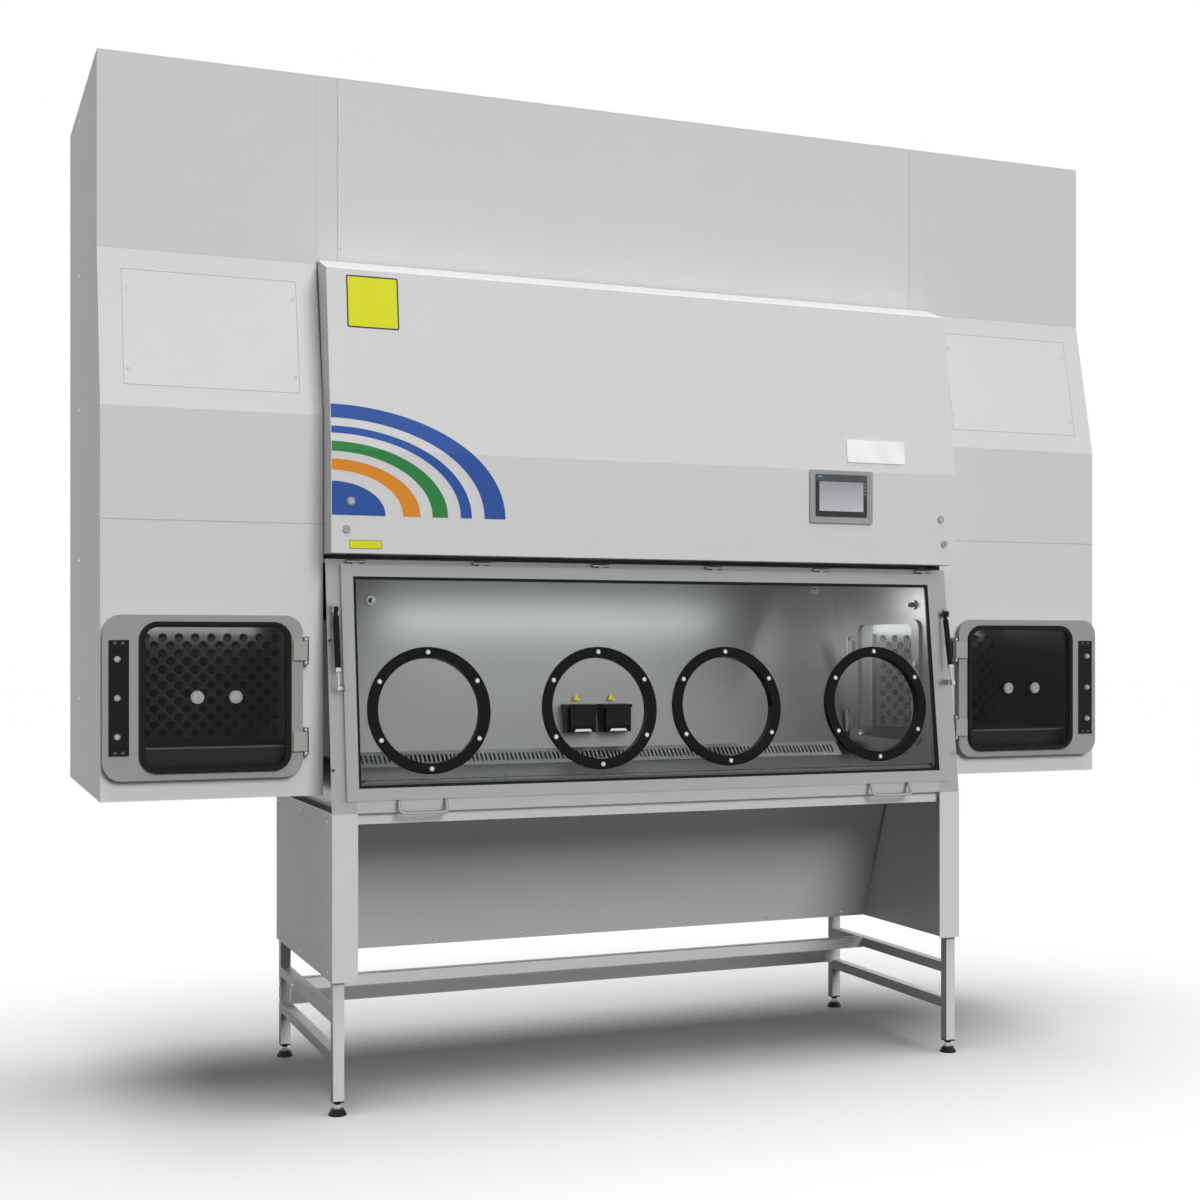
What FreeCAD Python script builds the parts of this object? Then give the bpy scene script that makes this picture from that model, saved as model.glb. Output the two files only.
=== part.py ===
import FreeCAD, Part
import math
import os

from FreeCAD import Matrix, Rotation, Vector

# Glove box isolator on a stand, millimetres, +Z up, +X to the user's right.
# Depths (y) are first measured from the lower front face of the side towers, positive into
# the machine. At the end everything is moved so that the origin is the centre of the footprint.

# Overall body
TOTAL_HEIGHT = 2825.0
TOWER_DEPTH = 928.0
TOTAL_WIDTH = 3120.0
TOWER_WIDTH = 583.0
TOWER_BOTTOM_Z = 848.0
MIDDLE_BOTTOM_Z = 1583.0
LOWER_BREAK_Z = 1878.0
UPPER_BREAK_Z = 2305.0
UPPER_SETBACK = 84.0
SIDE_SEAM_Y = 596.0
SHEET = 2.0
SEAT_GAP = 0.3
FLANGE = 16.0

# Stand
LEG_SIZE = 30.0
LEG_WALL = 2.0
LEG_INSET = 21.0
FRONT_LEG_Y = -79.0
REAR_LEG_Y = 626.0
LEG_BOTTOM_Z = 39.0
STAND_TOP_Z = 805.0
UPPER_RAIL_Z = 260.0
LOWER_RAIL_Z = 151.0
SHELF_CHANNEL_Y = 427.0
SHELF_CHANNEL_DEPTH = 40.0
SHELF_CHANNEL_LIP = 10.0
SHELF_CHANNEL_Z = 243.0
SHELF_CHANNEL_HEIGHT = 32.0
REAR_BEAM_Z = 160.0
REAR_BEAM_HEIGHT = 72.0
REAR_BEAM_DEPTH = 20.0
CAP_LIP = 4.0
CAP_PLUG = 22.0
PAD_RADIUS = 25.0
PAD_HEIGHT = 17.0
STEM_RADIUS = 5.0
STEM_CLEARANCE = 0.06
STEM_REACH = 14.0
NUT_RADIUS = 9.0
NUT_HEIGHT = 6.0

# Skirts and lower panels
SKIRT_BOTTOM_Z = 357.0
SKIRT_FRONT_Y = -109.0
SKIRT_REAR_Y = 648.0
SKIRT_RETURN = 70.0
SKIRT_LINING = 51.0
KNEE_TOP_Y = 216.0
KNEE_BOTTOM_Y = 378.0
KNEE_FLANGE = 18.0

# Chamber
CHAMBER_WALL = 37.0
CHAMBER_REAR_Y = 640.0
CHAMBER_TOP_Z = 1488.0
CEILING_Z = 1478.0
FLOOR_Z = 885.0
BASE_RIM_Z = 855.0
JAMB_FOOT = 67.0
REAR_WALL_FOOT_Y = 487.0
REAR_WALL_FOOT_Z = 930.0
REAR_WALL_LEAN = 0.226
GRILLE_FOOT_Y = 440.0
GRILLE_INSET = 60.0
GRILLE_SHEET = 1.5
GRILLE_SLOT_PITCH = 14.0
GRILLE_SLOT_WIDTH = 6.5
GRILLE_SLOT_LENGTH = 33.0
TRAY_LIP = 26.0
LAMP_SHARE = 0.66
LAMP_DEPTH = 46.0
LAMP_HEIGHT = 22.0

# Window, measured in its leaning plane: heights s from the glove port centres
WINDOW_TILT = math.degrees(0.12)
PORT_PLANE_Y = -84.3
PORT_PLANE_Z = 1077.3
JAMB_REVEAL = 39.0
FRAME_TOP_S = 399.0
FRAME_BOTTOM_S = -240.7
FRAME_BORDER = 33.0
FRAME_FRONT_N = 3.0
FRAME_BACK_N = -10.0
PANE_THICKNESS = 8.0
PANE_FRONT_N = -8.0
PANE_LAP = 10.0
PORT_SHARES = (-0.7475, -0.2135, 0.2135, 0.7475)
PORT_OUTER_RADIUS = 174.0
PORT_INNER_RADIUS = 144.5
PORT_NECK = 7.0
PORT_BACK_FLANGE = 168.0
PORT_DEPTH = 28.0
WINDOW_HINGE_SHARE = 0.9558
WINDOW_HINGE_COUNT = 6
WINDOW_HINGE_LENGTH = 52.0
WINDOW_PIVOT_S = 408.0
WINDOW_PIVOT_N = -2.0
WINDOW_PIN_RADIUS = 2.5
WINDOW_KNUCKLE_RADIUS = 4.5
PIN_CLEARANCE = 0.06
HANDLE_SHARE = 0.778
HANDLE_WIDTH = 132.0
HANDLE_DROP = 36.0
HANDLE_BAR_RADIUS = 4.5
HANDLE_BEND = 14.0

# Gas springs, at rest
SPRING_OFFSET = 19.0
SPRING_TOP_Y = -62.0
SPRING_TOP_Z = 1351.0
SPRING_LOW_Y = -102.0
SPRING_LOW_Z = 1140.0
SPRING_TUBE_RADIUS = 8.5
SPRING_TUBE_LENGTH = 150.0
SPRING_TUBE_START = 18.0
SPRING_ROD_RADIUS = 3.5
SPRING_ROD_CLEARANCE = 0.06
SPRING_EYE_RADIUS = 8.0
SPRING_EYE_HALF = 6.0
SPRING_STUD_RADIUS = 4.0
STUD_CLEARANCE = 0.06

# Front fascia
FASCIA_SIDE_GAP = 1.5
FASCIA_TOP_FRONT_Y = -29.8
FASCIA_TOP_FRONT_Z = 2273.7
FASCIA_FRONT_Y = -92.1
FASCIA_CREASE_Z = 1777.4
FASCIA_BOTTOM_Z = 1501.0
FASCIA_HINGE_Y = 70.0
FASCIA_HINGE_Z = 2303.0
FASCIA_BACK_RISE = 12.0
FASCIA_BACK_REACH = 6.0
FASCIA_PIN_RADIUS = 3.0
FASCIA_TUCK = 5.0
PANEL_SHARE = 0.5862
PANEL_Z = 1698.0
PANEL_WIDTH = 214.0
PANEL_HEIGHT = 158.0
PANEL_PROUD = 5.0
PANEL_BODY_DEPTH = 38.0
PANEL_RECESS = 1.2
PANEL_RIM = 12.0
CAM_INSET = 41.5
CAM_Z = 1565.0
CAM_HEAD_RADIUS = 10.5
CAM_HEAD_HEIGHT = 3.0
CAM_SHAFT_RADIUS = 5.0

# Centre housing above the chamber
HOUSING_BOTTOM_Z = 1489.0
FRONT_COVER_INSET = 59.0
FRONT_COVER_BOTTOM_Z = 2317.0
FILTER_INSET = 137.0
FILTER_FRONT_Y = 120.0
FILTER_REAR_Y = 560.0
FILTER_HEIGHT = 120.0
FILTER_FRAME = 20.0
FAN_RADIUS = 190.0
FAN_PLATE_MARGIN = 40.0
FAN_PLATE = 3.0
FAN_HEIGHT = 150.0
FAN_MOTOR_RADIUS = 90.0
FAN_MOTOR_HEIGHT = 120.0
CONTROL_BOX_WIDTH = 620.0
CONTROL_BOX_HEIGHT = 420.0
CONTROL_BOX_DEPTH = 110.0
CONTROL_BOX_Z = 1820.0
SPIGOT_RADIUS = 125.0
SPIGOT_HEIGHT = 60.0
SPIGOT_Y = 520.0
SPIGOT_WALL = 2.0
SPIGOT_FLANGE = 25.0

# Tower filters behind the sloping access covers
COVER_SIDE_MARGIN = 61.5
COVER_HEIGHT = 318.0
COVER_GAP = 1.0
COVER_CENTRE_RISE = 218.0
COVER_LAP = 16.0
TOWER_FILTER_MARGIN = 20.0
TOWER_FILTER_SHORTER = 26.0
TOWER_FILTER_RISE = 60.0
TOWER_FILTER_DEPTH = 300.0

# Pass boxes
HINGE_INSET = 50.0
DOOR_HINGE_GAP = 9.0
DOOR_Z = 1118.0
DOOR_SIDE_MARGINS = 63.0
DOOR_HEIGHT = 432.0
DOOR_CORNER = 48.0
DOOR_BACK_Y = -6.0
DOOR_THICKNESS = 14.0
RIM_HINGE_MARGIN = 31.5
RIM_LOCK_MARGIN = 91.5
RIM_HEIGHT_MARGINS = 35.0
WINDOW_RIM_WIDTH = 11.0
WINDOW_RIM_PROUD = 5.0
WINDOW_CORNER = 48.0
DOOR_PANE_THICKNESS = 6.0
STRIP_INSET = 41.0
STRIP_WIDTH = 51.0
STRIP_HEIGHT = 300.0
STRIP_THICKNESS = 3.0
LOCK_PITCH = 100.5
LOCK_RADIUS = 8.5
LOCK_HEIGHT = 5.0
FITTING_PITCH = 100.0
FITTING_RADIUS = 17.0
FITTING_PROUD = 9.0
HINGE_OFFSET = 14.0
HINGE_RISE = 122.0
HINGE_BLOCK = 52.0
HINGE_REACH = 36.0
HINGE_LEAF = 6.2
HINGE_KNUCKLE_RADIUS = 7.0
HINGE_KNUCKLE_LENGTH = 11.0
HINGE_PIN_RADIUS = 3.0
HINGE_BASE = 3.0
HINGE_SLACK = 0.5
LINER_INSET = 30.0
LINER_REAR_Y = 440.0
LINER_BOTTOM_Z = 900.0
LINER_TOP_Z = 1345.0
OPENING_MARGINS = 25.0
OPENING_CORNER = 8.0
DOORWAY_FRONT_Y = 84.0
DOORWAY_REAR_Y = 412.0
DOORWAY_BOTTOM_Z = 946.0
DOORWAY_TOP_Z = 1326.0
DOORWAY_CORNER = 8.0
PASS_PANEL_Y = 418.0
PASS_PANEL_INNER_X = 1000.0
PASS_PANEL_TOP_Z = 1292.0
PASS_TRAY_Z = 985.0
PASS_TRAY_FRONT_Y = 22.0
PASS_TRAY_LIP = 58.0

# Inner doors, on the chamber's side walls
INNER_AXIS_Y = 484.0
INNER_DOOR_FRONT_Y = 46.0
INNER_DOOR_BOTTOM_Z = 934.0
INNER_DOOR_TOP_Z = 1336.0
INNER_DOOR_THICKNESS = 10.0
INNER_DOOR_CORNER = 34.0
INNER_WINDOW_FRONT_Y = 88.0
INNER_WINDOW_REAR_Y = 420.0
INNER_WINDOW_BOTTOM_Z = 950.0
INNER_WINDOW_TOP_Z = 1322.0
INNER_HINGE_HIGH_Z = 1244.0
INNER_HINGE_LOW_Z = 1000.0
KNOB_Y = 62.0
KNOB_Z = 1195.0
KNOB_RADIUS = 13.0
KNOB_SHAFT_RADIUS = 5.0

# Sockets on the chamber's rear wall
SOCKET_X = (-46.0, 74.0)
SOCKET_Z = 1022.0
SOCKET_WIDTH = 100.0
SOCKET_HEIGHT = 88.0
SOCKET_DEPTH = 32.0
LID_THICKNESS = 10.0
LID_PIN_RADIUS = 2.5

# Spray fittings inside the chamber
SPRAY_REAR = ((-0.7415, 1392.0), (0.918, 1443.0))
SPRAY_SIDE_Y = 86.0
SPRAY_SIDE_Z = 1382.0
SPRAY_RADIUS = 15.0
SPRAY_REACH = 22.0

HALF = TOTAL_WIDTH / 2
CENTRE_HALF = HALF - TOWER_WIDTH
INNER_HALF = CENTRE_HALF - CHAMBER_WALL
TOWER_INNER_X = CENTRE_HALF + SEAT_GAP
LEG_X = CENTRE_HALF - LEG_INSET
SKIRT_INNER_X = CENTRE_HALF - SKIRT_LINING
GRILLE_HALF = INNER_HALF - GRILLE_INSET
LAMP_HALF = INNER_HALF * LAMP_SHARE
FRAME_HALF = CENTRE_HALF - JAMB_REVEAL
PORT_X = [share * FRAME_HALF for share in PORT_SHARES]
WINDOW_HINGE_PITCH = 2 * FRAME_HALF * WINDOW_HINGE_SHARE / (WINDOW_HINGE_COUNT - 1)
HANDLE_X = FRAME_HALF * HANDLE_SHARE
SPRING_X = FRAME_HALF + SPRING_OFFSET
FASCIA_HALF = CENTRE_HALF - FASCIA_SIDE_GAP
PANEL_X = FASCIA_HALF * PANEL_SHARE
CAM_X = FASCIA_HALF - CAM_INSET
FRONT_COVER_HALF = CENTRE_HALF - FRONT_COVER_INSET
FILTER_HALF_X = CENTRE_HALF - FILTER_INSET
COVER_CENTRE_X = CENTRE_HALF + TOWER_WIDTH / 2
COVER_WIDTH = TOWER_WIDTH - 2 * COVER_SIDE_MARGIN
TOWER_FILTER_WIDTH = COVER_WIDTH - 2 * TOWER_FILTER_MARGIN
HINGE_AXIS_X = CENTRE_HALF + HINGE_INSET
DOOR_WIDTH = TOWER_WIDTH - DOOR_SIDE_MARGINS
DOOR_INNER_X = HINGE_AXIS_X + DOOR_HINGE_GAP
DOOR_X = DOOR_INNER_X + DOOR_WIDTH / 2
RIM_WIDTH = DOOR_WIDTH - RIM_HINGE_MARGIN - RIM_LOCK_MARGIN
RIM_HEIGHT = DOOR_HEIGHT - RIM_HEIGHT_MARGINS
WINDOW_X = DOOR_INNER_X + RIM_HINGE_MARGIN + RIM_WIDTH / 2
STRIP_X = DOOR_INNER_X + DOOR_WIDTH - STRIP_INSET
LINER_OUTER_X = HALF - LINER_INSET
X_AXIS = Vector(1, 0, 0)
Y_AXIS = Vector(0, 1, 0)
Z_AXIS = Vector(0, 0, 1)
PARTS = {}


def box(x0, x1, y0, y1, z0, z1):
    return Part.makeBox(x1 - x0, y1 - y0, z1 - z0, Vector(x0, y0, z0))


def rod(start, direction, radius, length):
    return Part.makeCylinder(radius, length, Vector(*start), direction)


def side_profile(points, x0, x1):
    """A closed outline of (y, z) points, extruded along X."""
    corners = [Vector(x0, y, z) for y, z in points]
    return Part.Face(Part.makePolygon(corners + corners[:1])).extrude(Vector(x1 - x0, 0, 0))


def rounded_plate(width, height, radius, thickness, centre=(0.0, 0.0, 0.0)):
    """A plate in the XZ plane with round corners, from centre y backwards by its thickness."""
    cx, cy, cz = centre
    plate = box(cx - width / 2, cx + width / 2, cy, cy + thickness, cz - height / 2, cz + height / 2)
    upright = [e for e in plate.Edges if abs(e.tangentAt(e.FirstParameter).y) > 0.9]
    return plate.makeFillet(radius, upright)


def mirrored(shape):
    return shape.mirror(Vector(0, 0, 0), X_AXIS)


def both_sides(shape):
    return [shape, mirrored(shape)]


def fused(shapes):
    whole = shapes[0].fuse(shapes[1:]) if len(shapes) > 1 else shapes[0]
    return whole.removeSplitter()


def on_window(shape):
    """Lean a shape drawn upright (y towards the room is negative n, z is s) into the window plane."""
    placed = shape.copy()
    placed.rotate(Vector(0, 0, 0), X_AXIS, -WINDOW_TILT)
    placed.translate(Vector(0, PORT_PLANE_Y, PORT_PLANE_Z))
    return placed


def window_point(s, n):
    """World (y, z) of height s in the window plane and distance n in front of it."""
    tilt = math.radians(WINDOW_TILT)
    return (PORT_PLANE_Y + s * math.sin(tilt) - n * math.cos(tilt),
            PORT_PLANE_Z + s * math.cos(tilt) + n * math.sin(tilt))


def front_y(z, n):
    """Depth of the plane n in front of the port plane, at height z."""
    tilt = math.radians(WINDOW_TILT)
    return PORT_PLANE_Y - n / math.cos(tilt) + (z - PORT_PLANE_Z) * math.tan(tilt)


def rear_wall_y(z):
    return REAR_WALL_FOOT_Y + (z - REAR_WALL_FOOT_Z) * REAR_WALL_LEAN


def keep(name, shapes):
    PARTS[name] = shapes if isinstance(shapes, list) else [shapes]


# Stand

def square_tube(x0, x1, y0, y1, z0, z1, along):
    """A hollow square tube; along is the index of its long axis."""
    low = [x0, y0, z0]
    high = [x1, y1, z1]
    inner_low = [v + (0 if i == along else LEG_WALL) for i, v in enumerate(low)]
    inner_high = [v - (0 if i == along else LEG_WALL) for i, v in enumerate(high)]
    outer = box(low[0], high[0], low[1], high[1], low[2], high[2])
    return outer.cut(box(inner_low[0], inner_high[0], inner_low[1], inner_high[1],
                         inner_low[2], inner_high[2]))


def stand_side_frame():
    half = LEG_SIZE / 2
    x0 = LEG_X - half
    x1 = LEG_X + half
    top = STAND_TOP_Z - SEAT_GAP
    pieces = []
    for y in (FRONT_LEG_Y, REAR_LEG_Y):
        pieces.append(square_tube(x0, x1, y - half, y + half, LEG_BOTTOM_Z, top, 2))
    for z in (LOWER_RAIL_Z, UPPER_RAIL_Z, top - half):
        pieces.append(square_tube(x0, x1, FRONT_LEG_Y + half, REAR_LEG_Y - half,
                                  z - half, z + half, 1))
    return fused(pieces)


def make_stand():
    keep("stand_side_frames", both_sides(stand_side_frame()))
    half = LEG_SIZE / 2
    reach = LEG_X - half - SEAT_GAP
    top = STAND_TOP_Z - SEAT_GAP
    beams = []
    for y in (FRONT_LEG_Y, REAR_LEG_Y):
        beams.append(square_tube(-reach, reach, y - half, y + half, top - LEG_SIZE, top, 0))
    rear = box(-reach, reach, REAR_LEG_Y - REAR_BEAM_DEPTH, REAR_LEG_Y,
               REAR_BEAM_Z, REAR_BEAM_Z + REAR_BEAM_HEIGHT)
    hollow = box(-reach, reach, REAR_LEG_Y - REAR_BEAM_DEPTH + SHEET, REAR_LEG_Y,
                 REAR_BEAM_Z + SHEET, REAR_BEAM_Z + REAR_BEAM_HEIGHT - SHEET)
    beams.append(rear.cut(hollow))
    depth = SHELF_CHANNEL_DEPTH / 2
    y0 = SHELF_CHANNEL_Y - depth
    y1 = SHELF_CHANNEL_Y + depth
    z1 = SHELF_CHANNEL_Z + SHELF_CHANNEL_HEIGHT
    channel = box(-reach, reach, y0, y1, SHELF_CHANNEL_Z, z1)
    channel = channel.cut(box(-reach, reach, y0 + SHEET, y1 - SHEET, SHELF_CHANNEL_Z + SHEET, z1 - SHEET))
    channel = channel.cut(box(-reach, reach, y0 + SHELF_CHANNEL_LIP, y1 - SHELF_CHANNEL_LIP,
                              z1 - 2 * SHEET, z1))
    beams.append(channel)
    keep("stand_cross_beams", beams)


def make_leg_caps():
    caps = []
    inner = LEG_SIZE / 2 - LEG_WALL - SEAT_GAP
    outer = LEG_SIZE / 2
    for x in (-LEG_X, LEG_X):
        for y in (FRONT_LEG_Y, REAR_LEG_Y):
            lip = box(x - outer, x + outer, y - outer, y + outer, LEG_BOTTOM_Z - CAP_LIP, LEG_BOTTOM_Z)
            plug = box(x - inner, x + inner, y - inner, y + inner, LEG_BOTTOM_Z, LEG_BOTTOM_Z + CAP_PLUG)
            bore = rod((x, y, 0), Z_AXIS, STEM_RADIUS + STEM_CLEARANCE, LEG_BOTTOM_Z + CAP_PLUG + 1)
            caps.append(fused([lip, plug]).cut(bore))
    keep("leg_caps", caps)


def levelling_foot(x, y):
    """A conical pad on a threaded stem with its lock nut, one turned piece."""
    nut_top = LEG_BOTTOM_Z - CAP_LIP - SEAT_GAP
    outline = [(0, 0), (PAD_RADIUS, 0), (PAD_RADIUS - 1, 4), (PAD_RADIUS * 0.66, PAD_HEIGHT),
               (STEM_RADIUS, PAD_HEIGHT), (STEM_RADIUS, nut_top - NUT_HEIGHT),
               (NUT_RADIUS, nut_top - NUT_HEIGHT), (NUT_RADIUS, nut_top), (STEM_RADIUS, nut_top),
               (STEM_RADIUS, LEG_BOTTOM_Z + STEM_REACH), (0, LEG_BOTTOM_Z + STEM_REACH)]
    corners = [Vector(r, 0, z) for r, z in outline]
    foot = Part.Face(Part.makePolygon(corners + corners[:1])).revolve(Vector(0, 0, 0), Z_AXIS, 360)
    foot.translate(Vector(x, y, 0))
    return foot


def make_feet():
    for side, x in (("left", -LEG_X), ("right", LEG_X)):
        for end, y in (("front", FRONT_LEG_Y), ("rear", REAR_LEG_Y)):
            keep("foot_%s_%s" % (end, side), levelling_foot(x, y))


def make_skirts():
    """Folded side skirts that clad the legs, the inclined knee panel and the rear panel."""
    top = STAND_TOP_Z - SEAT_GAP
    outer = CENTRE_HALF
    skin = box(outer - SHEET, outer, SKIRT_FRONT_Y, SKIRT_REAR_Y, SKIRT_BOTTOM_Z, top)
    front = box(outer - SKIRT_RETURN, outer, SKIRT_FRONT_Y, SKIRT_FRONT_Y + SHEET, SKIRT_BOTTOM_Z, top)
    inner_top = top - LEG_SIZE
    inner = box(SKIRT_INNER_X, SKIRT_INNER_X + SHEET, SKIRT_FRONT_Y, KNEE_TOP_Y,
                SKIRT_BOTTOM_Z, inner_top)
    inner = inner.fuse(side_profile(
        [(KNEE_TOP_Y - 1, inner_top), (KNEE_TOP_Y - 1, SKIRT_BOTTOM_Z),
         (KNEE_BOTTOM_Y, SKIRT_BOTTOM_Z), (KNEE_TOP_Y, inner_top)],
        SKIRT_INNER_X, SKIRT_INNER_X + SHEET))
    floor = box(SKIRT_INNER_X, outer - SHEET, SKIRT_FRONT_Y, SKIRT_FRONT_Y + SKIRT_RETURN / 5,
                SKIRT_BOTTOM_Z, SKIRT_BOTTOM_Z + SHEET)
    keep("side_skirts", both_sides(fused([skin, front, inner, floor])))

    reach = SKIRT_INNER_X - SEAT_GAP
    lean = (KNEE_BOTTOM_Y - KNEE_TOP_Y) / (top - SKIRT_BOTTOM_Z)
    low_y = KNEE_BOTTOM_Y
    panel = side_profile([(KNEE_TOP_Y, top), (low_y, SKIRT_BOTTOM_Z),
                          (low_y + KNEE_FLANGE, SKIRT_BOTTOM_Z),
                          (low_y + KNEE_FLANGE, SKIRT_BOTTOM_Z + SHEET),
                          (low_y + SHEET - lean * SHEET, SKIRT_BOTTOM_Z + SHEET),
                          (KNEE_TOP_Y + SHEET, top)], -reach, reach)
    keep("knee_panel", panel)
    rear_y = SKIRT_REAR_Y - SHEET
    rear = box(-outer + SHEET + SEAT_GAP, outer - SHEET - SEAT_GAP, rear_y, SKIRT_REAR_Y,
               SKIRT_BOTTOM_Z, top)
    lip = box(-outer + SHEET + SEAT_GAP, outer - SHEET - SEAT_GAP, rear_y - 1, rear_y,
              SKIRT_BOTTOM_Z, SKIRT_BOTTOM_Z + SHEET)
    keep("rear_lower_panel", fused([rear, lip]))


# Chamber

def chamber_outline(n, z0, z1, rear):
    return [(front_y(z0, n), z0), (front_y(z1, n), z1), (rear, z1), (rear, z0)]


def doorway(x0, x1, grow=0.0):
    """The round-cornered passage between chamber and pass box, grown by a wall thickness."""
    width = DOORWAY_REAR_Y - DOORWAY_FRONT_Y + 2 * grow
    height = DOORWAY_TOP_Z - DOORWAY_BOTTOM_Z + 2 * grow
    plate = rounded_plate(width, height, DOORWAY_CORNER + grow, x1 - x0)
    plate.rotate(Vector(0, 0, 0), Z_AXIS, -90)
    middle_y = (DOORWAY_FRONT_Y + DOORWAY_REAR_Y) / 2
    plate.translate(Vector(x0, middle_y, (DOORWAY_BOTTOM_Z + DOORWAY_TOP_Z) / 2))
    return plate


FACE_N = FRAME_BACK_N - SEAT_GAP


def make_chamber():
    """Welded stainless shell: ceiling, pan-formed side walls with their doorways, front jambs."""
    rear = CHAMBER_REAR_Y
    outer = side_profile(chamber_outline(FACE_N, STAND_TOP_Z, CHAMBER_TOP_Z, rear), -CENTRE_HALF, CENTRE_HALF)
    hollow = side_profile([(front_y(STAND_TOP_Z - 1, FACE_N - SHEET), STAND_TOP_Z - 1),
                           (front_y(CEILING_Z, FACE_N - SHEET), CEILING_Z),
                           (rear + 1, CEILING_Z), (rear + 1, STAND_TOP_Z - 1)],
                          -INNER_HALF, INNER_HALF)
    shell = outer.cut(hollow)
    opening_half = FRAME_HALF - FRAME_BORDER + PANE_LAP + 4
    opening = box(-opening_half, opening_half, -FRAME_BACK_N - 5, -FACE_N + 10,
                  FRAME_BOTTOM_S + FRAME_BORDER - PANE_LAP - 4, FRAME_TOP_S - FRAME_BORDER + PANE_LAP + 4)
    foot_half = CENTRE_HALF - JAMB_FOOT
    foot = box(-foot_half, foot_half, -FRAME_BACK_N - 5, -FACE_N + 10,
               FRAME_BOTTOM_S - 2 * FRAME_BORDER, FRAME_BOTTOM_S + FRAME_BORDER)
    shell = shell.cut([on_window(opening), on_window(foot)])
    # the pocket on the outer side of each wall, around the doorway tunnel
    x_in = INNER_HALF + SHEET
    pocket = side_profile([(front_y(STAND_TOP_Z + SHEET, FACE_N - SHEET), STAND_TOP_Z + SHEET),
                           (front_y(CEILING_Z, FACE_N - SHEET), CEILING_Z),
                           (rear - SHEET, CEILING_Z), (rear - SHEET, STAND_TOP_Z + SHEET)],
                          x_in, CENTRE_HALF + 1)
    pocket = pocket.cut(doorway(x_in - 1, CENTRE_HALF + 2, SHEET))
    way = doorway(INNER_HALF - 1, CENTRE_HALF + 2)
    shell = shell.cut([pocket, mirrored(pocket), way, mirrored(way)])
    air = box(-FILTER_HALF_X, FILTER_HALF_X, FILTER_FRONT_Y, FILTER_REAR_Y,
              CEILING_Z - 1, CHAMBER_TOP_Z + 1)
    recess = box(-INNER_HALF, INNER_HALF, FILTER_FRONT_Y - 3 * FILTER_FRAME,
                 rear - SHEET, CEILING_Z + SHEET, CHAMBER_TOP_Z + 1)
    keep("chamber_shell", shell.cut([air, recess]))


def make_base():
    """The base pan under the work tray, with the plain stainless band below the window."""
    z0 = STAND_TOP_Z
    half = CENTRE_HALF - JAMB_FOOT - SEAT_GAP
    wide = INNER_HALF - SEAT_GAP
    rear = CHAMBER_REAR_Y - SEAT_GAP
    front_top = front_y(BASE_RIM_Z, FACE_N)
    outline = [(front_y(z0, FACE_N), z0), (front_top, BASE_RIM_Z), (front_top + 14, BASE_RIM_Z),
               (front_top + 14, BASE_RIM_Z - SHEET),
               (front_y(BASE_RIM_Z - SHEET, FACE_N - SHEET), BASE_RIM_Z - SHEET),
               (front_y(z0 + SHEET, FACE_N - SHEET), z0 + SHEET),
               (rear - SHEET, z0 + SHEET), (rear - SHEET, BASE_RIM_Z), (rear, BASE_RIM_Z), (rear, z0)]
    pan = side_profile(outline, -half, half)
    back_from = front_y(z0, FACE_N) + 30
    rim_z = FLOOR_Z - SHEET - SEAT_GAP
    for sign in (-1, 1):
        x0, x1 = sorted((sign * half - sign * 1, sign * wide))
        wing = box(x0, x1, back_from, rear, z0, z0 + SHEET)
        cheek_x = sorted((sign * (wide - SHEET), sign * wide))
        cheek = box(cheek_x[0], cheek_x[1], back_from, rear, z0, rim_z)
        ledge_x = sorted((sign * (wide - 22), sign * wide))
        ledge = box(ledge_x[0], ledge_x[1], back_from, GRILLE_FOOT_Y, rim_z - SHEET, rim_z)
        pan = pan.fuse([wing, cheek, ledge])
    keep("chamber_base", pan.removeSplitter())


def make_rear_wall():
    """The inclined rear baffle and the slotted return air grille at its foot."""
    half = INNER_HALF - SEAT_GAP
    top = CEILING_Z - SEAT_GAP
    wall = side_profile([(REAR_WALL_FOOT_Y, REAR_WALL_FOOT_Z), (rear_wall_y(top), top),
                         (rear_wall_y(top) + SHEET, top), (REAR_WALL_FOOT_Y + SHEET, REAR_WALL_FOOT_Z)],
                        -half, half)
    keep("chamber_rear_wall", wall)

    foot_z = FLOOR_Z + SEAT_GAP + GRILLE_SHEET
    top_y = REAR_WALL_FOOT_Y - SEAT_GAP
    rise = REAR_WALL_FOOT_Z - foot_z
    run = top_y - GRILLE_FOOT_Y
    slope = math.hypot(rise, run)
    t = GRILLE_SHEET
    plate = box(-GRILLE_HALF, GRILLE_HALF, 0, t, 0, slope)
    slots = []
    count = int((2 * GRILLE_HALF - 30) / GRILLE_SLOT_PITCH)
    first = -(count - 1) * GRILLE_SLOT_PITCH / 2
    middle = slope / 2
    for i in range(count):
        x = first + i * GRILLE_SLOT_PITCH
        slots.append(box(x - GRILLE_SLOT_WIDTH / 2, x + GRILLE_SLOT_WIDTH / 2, -1, t + 1,
                         middle - GRILLE_SLOT_LENGTH / 2, middle + GRILLE_SLOT_LENGTH / 2))
    plate = plate.cut(Part.makeCompound(slots))
    plate.rotate(Vector(0, 0, 0), X_AXIS, -math.degrees(math.atan2(run, rise)))
    plate.translate(Vector(0, GRILLE_FOOT_Y, foot_z))
    keep("rear_grille", plate)


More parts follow.
